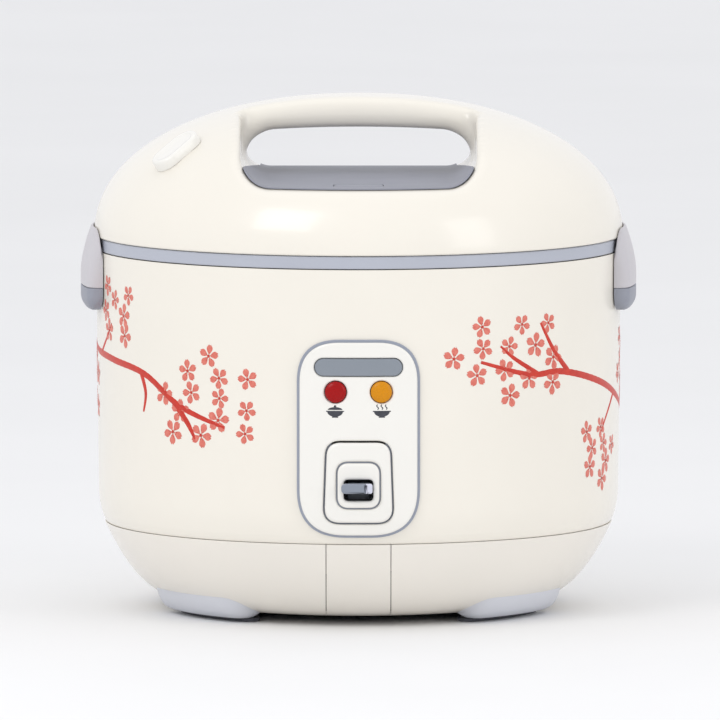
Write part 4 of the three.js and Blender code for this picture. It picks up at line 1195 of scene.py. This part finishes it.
def blossom(petals, centres, x, z, size, turn, count=5):
    """A blossom of five petals, with a ring of dots between a short and a long reach round its centre."""
    for k in range(count):
        petal(petals, x, z, turn + 2 * math.pi * k / count, size / 2, size * 0.31)
    for k in range(2 * count):
        angle = turn + math.pi * (k + 0.5) / count
        reach = size * (0.16 if k % 2 else 0.2)
        dot(centres, x + reach * math.cos(angle), z + reach * math.sin(angle), size * 0.018)
    dot(centres, x, z, size * 0.07)


def dot(bm, x, z, radius, count=10):
    """A small round dot, a little above the petals."""
    middle = bm.verts.new((x, 0.34, z))
    ring = [bm.verts.new((px, 0.24, pz)) for px, pz in circle(x, z, radius, count)]
    for a, b in zip(ring, ring[1:] + ring[:1]):
        bm.faces.new((middle, a, b))


def disc(bm, x, z, half_x, half_z, upper=True, lower=True, count=24):
    """A filled ellipse, or its upper or lower half, as a thin patch."""
    first = 0.0 if upper else math.pi
    sweep = math.pi * (2 if upper and lower else 1)
    ring = [bm.verts.new((x + half_x * math.cos(first + sweep * k / count), 0.0,
                          z + half_z * math.sin(first + sweep * k / count))) for k in range(count + 1)]
    middle = bm.verts.new((x, 0.02, z))
    for a, b in zip(ring, ring[1:]):
        bm.faces.new((middle, a, b))


def wave(bm, x, bottom, height, width=0.5):
    """A rising wisp of steam."""
    points = [(x + 0.45 * math.sin(k / 8 * 2 * math.pi), bottom + height * k / 8, width) for k in range(9)]
    ribbon(bm, points, 0.04)


def bowl_sign(bm, x, z):
    """A bowl on a small foot, 8 mm wide."""
    disc(bm, x, z, 4.0, 2.6, upper=False)
    ribbon(bm, [(x - 4.6, z + 0.25, 0.6), (x, z + 0.25, 0.6), (x + 4.6, z + 0.25, 0.6)], 0.04)
    ribbon(bm, [(x - 1.6, z - 2.8, 0.6), (x, z - 2.8, 0.6), (x + 1.6, z - 2.8, 0.6)], 0.04)


SIGN_Z = 117.6


def make_signs():
    """Under the cook lamp a bowl with its lid on, under the warm lamp a bowl with steam over it."""
    cook = bmesh.new()
    bowl_sign(cook, -LAMP_X, SIGN_Z)
    disc(cook, -LAMP_X, SIGN_Z + 1.0, 3.8, 1.5, lower=False)
    disc(cook, -LAMP_X, SIGN_Z + 2.9, 0.7, 0.6)
    warm = bmesh.new()
    bowl_sign(warm, LAMP_X, SIGN_Z)
    for offset in (-2.2, 0.0, 2.2):
        wave(warm, LAMP_X + offset, SIGN_Z + 1.2, 2.6)
    for name, bm in (("cook_sign", cook), ("warm_sign", warm)):
        finish_piece(name, wrapped(bm, PANEL_RAISE + 0.03), LABEL_INK, "cooker", crease=60)


GOLDEN = math.pi * (3 - math.sqrt(5))
BLOSSOM_SIZE = 13.0


def cluster(petals, centres, x, z, reach_x, reach_z, count, turn):
    """Blossoms spread evenly in an ellipse by the golden angle, in five sizes."""
    for k in range(count):
        spread = math.sqrt((k + 0.5) / count)
        angle = turn + k * GOLDEN
        place = (x + spread * reach_x * math.cos(angle), z + spread * reach_z * math.sin(angle))
        size = BLOSSOM_SIZE * (0.86 + 0.2 * ((k * 7) % 5) / 4)
        blossom(petals, centres, *place, size, 0.7 * k)


# Each branch runs through (distance round the casing from the front, height, width) points.
LEFT_BRANCHES = [
    [(-262, 156, 1.0), (-238, 146, 3.4), (-205, 140, 4.2), (-168, 137, 4.1), (-132, 132, 3.8),
     (-104, 117, 3.6), (-74, 107, 2.0)],
    [(-135, 132, 3.4), (-131, 122, 2.8), (-133, 112, 1.6)],
    [(-108, 119, 4.2), (-98, 108, 3.4), (-93, 100, 1.8)],
    [(-190, 139, 2.8), (-178, 148, 1.9), (-170, 156, 0.9)],
    [(-212, 142, 2.8), (-218, 132, 1.9), (-220, 124, 0.9)],
]
RIGHT_BRANCHES = [
    [(264, 96, 1.0), (240, 102, 3.6), (205, 112, 4.3), (165, 125, 4.1), (124, 134, 3.8), (98, 134, 3.2),
     (67, 142, 1.8)],
    [(128, 134, 3.6), (116, 146, 2.9), (106, 161, 1.6)],
    [(104, 134, 3.0), (88, 143, 2.3), (79, 150, 1.3)],
    [(186, 118, 2.6), (172, 106, 1.9), (164, 98, 0.9)],
    [(212, 110, 2.6), (218, 120, 1.9), (219, 128, 0.9)],
]
# Each spray of blossoms: its middle, half its width and height, how many, and the turn of the first.
LEFT_CLUSTERS = [(-84, 121, 37, 25, 13, 0.3), (-168, 165, 28, 18, 8, 1.1), (-216, 121, 22, 17, 6, 2.0)]
RIGHT_CLUSTERS = [(87, 145, 38, 25, 13, 1.9), (163, 90, 24, 17, 8, 0.6), (215, 132, 22, 17, 6, 2.6)]


def make_blossoms():
    """The printed branches and blossoms on the casing's two sides."""
    sides = {"left": (LEFT_BRANCHES, LEFT_CLUSTERS), "right": (RIGHT_BRANCHES, RIGHT_CLUSTERS)}
    for side, (branches, clusters) in sides.items():
        wood, petals, centres = bmesh.new(), bmesh.new(), bmesh.new()
        for branch in branches:
            ribbon(wood, branch)
        for spray in clusters:
            cluster(petals, centres, *spray)
        layers = (("branch", wood, BRANCH_INK, -0.05), ("petals", petals, PETAL_INK, 0.02),
                  ("centres", centres, CENTRE_INK, 0.02))
        for name, bm, ink, lift in layers:
            finish_piece(f"blossom_{name}_{side}", wrapped(bm, lift), ink, "cooker",
                         crease=60)


# ---- Side grips ----------------------------------------------------------------------------------

GRIP_HALF = 38.0
GRIP_BOTTOM, GRIP_SPLIT, GRIP_TOP = 161.4, 173.6, 204.6
GRIP_REACH = 148.2
GRIP_WALL = 2.8                  # left outside the finger pocket
GRIP_SHOULDER, GRIP_SOLE = 181.0, 169.0    # the side is upright between these heights
GRIP_END = 5.0                   # rounding of the grip's two ends
GRIP_SEAM = 0.3
CASING_FIT = CASING_RADIUS + CASING_FLARE + 0.5
LID_FIT = LID_RADIUS + 0.5
LIP_BOTTOM = 198.4


def grip_side(z):
    """Radius of the grip's outer side."""
    rise = max(0.0, (z - GRIP_SHOULDER) / (GRIP_TOP - GRIP_SHOULDER))
    drop = max(0.0, (GRIP_SOLE - z) / (GRIP_SOLE - GRIP_BOTTOM))
    return GRIP_REACH - 5.5 * rise ** 1.6 - 3.2 * drop ** 2.5


def corner_lift(along, corner):
    """How far a rounded corner has risen at a distance along the grip."""
    past = max(0.0, abs(along) - (GRIP_HALF - corner)) / corner
    return corner * (1 - math.sqrt(max(0.0, 1 - past * past)))


def grip_section(low, high, steps=14):
    """[radius, height] points: up the outer side and down the inner."""
    points = [(CASING_FIT, low), (grip_side(low) - 0.6, low)]
    for k in range(steps + 1):
        z = low + 0.5 + (high - low - 1.0) * k / steps
        points.append((grip_side(z), z))
    points.append((grip_side(high) - 0.5, high))
    if high > LIP_BOTTOM:
        points += [(LID_FIT, high), (LID_FIT, LIP_BOTTOM), (CASING_FIT, LIP_BOTTOM)]
    else:
        points.append((CASING_FIT, high))
    return points


def grip_part(low, high, corner, upwards, stations=56):
    """One half of the grip at azimuth 0: its section swept round the body, closing in at both ends."""
    section = grip_section(low, high)
    base, span = (low, high - low) if upwards else (high, low - high)
    bm = bmesh.new()
    rings = []
    for k in range(stations + 1):
        along = GRIP_HALF * math.sin((k / stations - 0.5) * math.pi)
        past = max(0.0, abs(along) - (GRIP_HALF - GRIP_END)) / GRIP_END
        swell = max(0.04, math.sqrt(max(0.0, 1 - past * past)))
        height = 1 - corner_lift(along, corner) / abs(span)
        angle = math.asin(along / GRIP_REACH)
        ring = []
        for r, z in section:
            fit = LID_FIT if z > LIP_BOTTOM + 0.1 else CASING_FIT
            reach = fit + max(0.0, r - fit) * swell
            place = (reach * math.cos(angle), reach * math.sin(angle), base + (z - base) * height)
            ring.append(bm.verts.new(place))
        rings.append(ring)
    return tube(bm, rings)


def finger_pocket():
    """The room under the grip for the fingertips, as a tool to cut with."""
    half = math.asin((GRIP_HALF - 8) / GRIP_REACH)
    outer, low, high = GRIP_REACH - GRIP_WALL, GRIP_BOTTOM - 10, GRIP_SHOULDER
    return lathe([(100, low), (outer, low), (outer, high), (100, high)], 24, -half, 2 * half)


def make_grips():
    """Each side grip: a light shell above and a dark base below, both open underneath for the fingers. The
    base's dark grey is painted shade under the shell's ledge.
    """
    seam = GRIP_SEAM / 2
    parts = (("shell", GRIP_SPLIT + seam, GRIP_TOP, 14.0, True, GRIP_LIGHT, "grip_light", "side_grip"),
             ("base", GRIP_BOTTOM, GRIP_SPLIT - seam, 9.0, False, GRIP_DARK, "grip_dark", "side_grip_pad"))
    for side, turn in (("right", 0.0), ("left", math.pi)):
        for part, low, high, corner, upwards, material, slot, node in parts:
            bm = turned(cut_away(grip_part(low, high, corner, upwards), finger_pocket()), turn, "Z")
            finish_piece(f"grip_{part}_{side}", bm, material, "cooker", [f"{node}_{side}"], crease=35)


# ---- Inside: pot, lids and seals -----------------------------------------------------------------


POT_RADIUS, POT_WALL, POT_BEND = 107.5, 1.5, 18.0
POT_FLOOR, POT_TOP = 62.0, 191.5
POT_RIM_RADIUS, POT_RIM_THICK = 115.2, 1.6
LID_ROUND = 128                  # segments round the pieces inside the lid
VENT_HOLES, VENT_HOLE_RING, VENT_HOLE_RADIUS = 6, 60.0, 3.0


def pot_bend(radius, steps=12):
    """The quarter round between the pot's floor and its wall."""
    angles = [k / steps * math.pi / 2 for k in range(steps + 1)]
    centre = POT_RADIUS - POT_BEND
    return [(centre + radius * math.sin(a), POT_FLOOR + POT_BEND - radius * math.cos(a)) for a in angles]


def make_pot():
    """The inner pot: a floor, a round bend, an upright wall and a flat rim."""
    rim = [(POT_RADIUS, POT_TOP - POT_RIM_THICK), (POT_RIM_RADIUS, POT_TOP - POT_RIM_THICK),
           (POT_RIM_RADIUS, POT_TOP), (POT_RADIUS - POT_WALL, POT_TOP)]
    outline = [(0, POT_FLOOR)] + pot_bend(POT_BEND) + fillet(rim, [0.6, 0.6, 0.6, 0.9], 4)
    outline += list(reversed(pot_bend(POT_BEND - POT_WALL))) + [(0, POT_FLOOR + POT_WALL)]
    finish_piece("pot_bowl", lathe(outline, ROUND), ALUMINIUM, "pot", ["inner_pot"])


def make_lid_liner():
    """The plastic plate that closes the lid from below, with a peg for the inner lid."""
    liner = [(0, 190.5), (3.5, 190.5), (3.5, 197.4), (114, 197.4), (116, 199.8), (137.4, 199.8),
             (137.4, 202), (115, 202), (112.6, 199.8), (0, 199.8)]
    bm = lathe(fillet(liner, [0, 0.6, 0.4, 0.8, 0.8, 0.6, 0.6, 0.6, 0.6, 0], 3), LID_ROUND)
    low, high = cad_box("lid_knuckle")
    bm = cut_away(bm, block((low.x, 124, 190), (high.x, 160, 210)))
    bm = cut_away(bm, block((-7, -135, 190), (7, -123, 210)))
    finish_piece("liner_plate", bm, LINER_GREY, "lid", ["lid_liner"])


def make_inner_lid():
    """The metal inner lid with a pressed ring and steam holes, held by a gasket and a grommet."""
    sheet = [(9.3, 194.4), (20, 194.4), (24, 193.6), (44, 193.6), (48, 194.4), (107, 194.4), (107, 195.6),
             (48, 195.6), (44, 194.8), (24, 194.8), (20, 195.6), (9.3, 195.6)]
    bm = lathe(fillet(sheet, 0.3, 2), LID_ROUND)
    for x, y in circle(0, 0, VENT_HOLE_RING, VENT_HOLES):
        hole = lathe([(0, 185), (VENT_HOLE_RADIUS, 185), (VENT_HOLE_RADIUS, 200), (0, 200)], 20)
        bm = cut_away(bm, moved(hole, (x, y, 0)))
    finish_piece("inner_lid_disc", bm, ALUMINIUM, "lid", ["inner_lid"])
    seal = [(105.2, 191.8), (113.6, 191.8), (113.6, 197.1), (105.2, 197.1), (105.2, 195.9),
            (107.3, 195.9), (107.3, 194.1), (105.2, 194.1)]
    finish_piece("lid_seal_ring", lathe(fillet(seal, 0.6, 3), LID_ROUND), SILICONE, "lid",
                 ["inner_lid_gasket"])
    ring = [(3.8, 192.6), (11.5, 192.6), (11.5, 194.1), (9, 194.1), (9, 195.9), (11.5, 195.9),
            (11.5, 197.1), (3.8, 197.1)]
    finish_piece("centre_grommet", lathe(fillet(ring, 0.5, 3), 48), SILICONE, "lid",
                 ["inner_lid_grommet"])


# ---- CAD nodes that keep their shape -------------------------------------------------------------

KEPT = {
    "bottom_cover": BLACK, "heat_shield": ALUMINIUM, "latch_catch": STEEL, "latch_hook": STEEL,
    "heater_plate": ALUMINIUM, "heating_element": STEEL, "thermostat_cap": ALUMINIUM,
    "magnet_plunger": MAGNET, "lever_bracket": STEEL, "lever_pin": STEEL, "microswitch": BLACK,
    "lamp_board": BOARD, "cook_lamp": BULB, "warm_lamp": BULB, "hinge_pin": STEEL,
    "steam_duct": SILICONE, "inlet_pin_left": BRASS, "inlet_pin_right": BRASS,
    "base_screw_left": STEEL, "base_screw_right": STEEL, "heater_post_1": STEEL,
    "heater_post_2": STEEL, "heater_post_3": STEEL,
}
SOFTENED = {
    "hinge_bracket": (GRIP_DARK, "cooker", "grip_dark"),
    "lid_knuckle": (GRIP_DARK, "lid", "grip_dark"),
    "power_inlet": (BLACK, "cooker", "dark_plastic"),
    "dew_collector": (GRIP_LIGHT, "drip_cup", "grip_light"),
}
SOFTENED.update({f"foot_pad_{place}": (PAD_RUBBER, "cooker", "rubber_pad")
                 for place in sorted(FOOT_PLACES)})


def paint_kept_nodes():
    """Gives the CAD nodes that are shown as they are their materials."""
    for node, material in KEPT.items():
        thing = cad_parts[node]
        thing.data.materials.clear()
        thing.data.materials.append(material)


def soften_nodes():
    """Replaces some CAD nodes with copies whose sharp edges are rounded."""
    for node, (material, body, slot) in SOFTENED.items():
        bm = bmesh.new()
        bm.from_mesh(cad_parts[node].data)
        bmesh.ops.remove_doubles(bm, verts=bm.verts, dist=1e-6)
        bmesh.ops.dissolve_limit(bm, angle_limit=math.radians(1), verts=bm.verts, edges=bm.edges)
        scaled(moved(bm, -AXIS), 1 / MM)
        sharp = [e for e in bm.edges if len(e.link_faces) == 2 and e.calc_face_angle(0) > math.radians(50)]
        bmesh.ops.bevel(bm, geom=sharp, offset=0.35, segments=2, affect="EDGES", profile=0.5,
                        clamp_overlap=True)
        finish_piece(f"{node}_soft", bm, material, body, [node], crease=35)


# ---- Stage ---------------------------------------------------------------------------------------

FRAME_WIDTH = 384.5              # millimetres across the picture at the object
CAMERA_HEIGHT = math.radians(5.2)
LENS_LENGTH, SENSOR = 800.0, 36.0
AIM = (0.8, 0.0, 132.0)


def make_floor():
    """A pale painted floor, much larger than the picture."""
    graph = Graph("floor_paint")
    stops = [(0.2, (0.85, 0.85, 0.85, 1)), (0.8, (0.88, 0.88, 0.88, 1))]
    graph.paint(Base_Color=graph.colours(graph.noise(3.0, 4.0), stops))
    graph.set(Roughness=0.75)
    bm = bmesh.new()
    bmesh.ops.create_grid(bm, x_segments=8, y_segments=8, size=40)
    floor = added("floor", as_mesh("floor", bm))
    floor.location.z = -0.0002
    floor.data.materials.append(graph.material)


def add_area(name, place, size, power, aim=(0, 0, 0.14)):
    """A rectangular light at a place in metres, turned to the object."""
    data = bpy.data.lights.new(name, "AREA")
    data.shape = "RECTANGLE"
    data.size, data.size_y = size
    data.energy = power
    light = added(name, data)
    light.location = place
    light.rotation_euler = (Vector(aim) - Vector(place)).to_track_quat("-Z", "Y").to_euler()


def make_lights():
    """Soft studio light: an even pale surround, a key on the left, a fill on the right and one above."""
    world = bpy.data.worlds.new("studio")
    world.use_nodes = True
    world.node_tree.nodes["Background"].inputs["Color"].default_value = (0.97, 0.975, 1.0, 1)
    world.node_tree.nodes["Background"].inputs["Strength"].default_value = 0.96
    bpy.context.scene.world = world
    add_area("key", (-0.9, -1.3, 1.25), (0.8, 0.8), 6.5)
    add_area("fill", (1.3, -1.1, 0.7), (0.6, 1.0), 3)
    add_area("top", (0.0, 0.1, 1.7), (1.4, 1.4), 1.2)


def make_camera():
    """A long lens from just above the object's middle, so that its sides show almost without perspective."""
    data = bpy.data.cameras.new("camera")
    data.lens = LENS_LENGTH
    data.sensor_width = SENSOR
    data.clip_start = 0.1
    data.clip_end = 200
    distance = FRAME_WIDTH * MM * LENS_LENGTH / SENSOR
    aim = Vector(AIM) * MM + AXIS
    back = Vector((0, -math.cos(CAMERA_HEIGHT), math.sin(CAMERA_HEIGHT)))
    camera = added("camera", data)
    camera.location = aim + back * distance
    camera.rotation_euler = (-back).to_track_quat("-Z", "Y").to_euler()
    bpy.context.scene.camera = camera
    bpy.context.scene.view_settings.view_transform = "Standard"


# ---- Build ---------------------------------------------------------------------------------------

make_camera()
make_lights()
make_floor()
make_lid_cover()
make_tray()
make_vent_cap()
make_button()
make_casing()
make_rim()
make_base()
make_feet()
make_front_panel()
make_switch_surround()
make_lens(-1, RED_LENS, "cook_lamp_lens")
make_lens(1, AMBER_LENS, "warm_lamp_lens")
make_lever()
make_signs()
make_blossoms()
make_grips()
make_pot()
make_lid_liner()
make_inner_lid()
paint_kept_nodes()
soften_nodes()
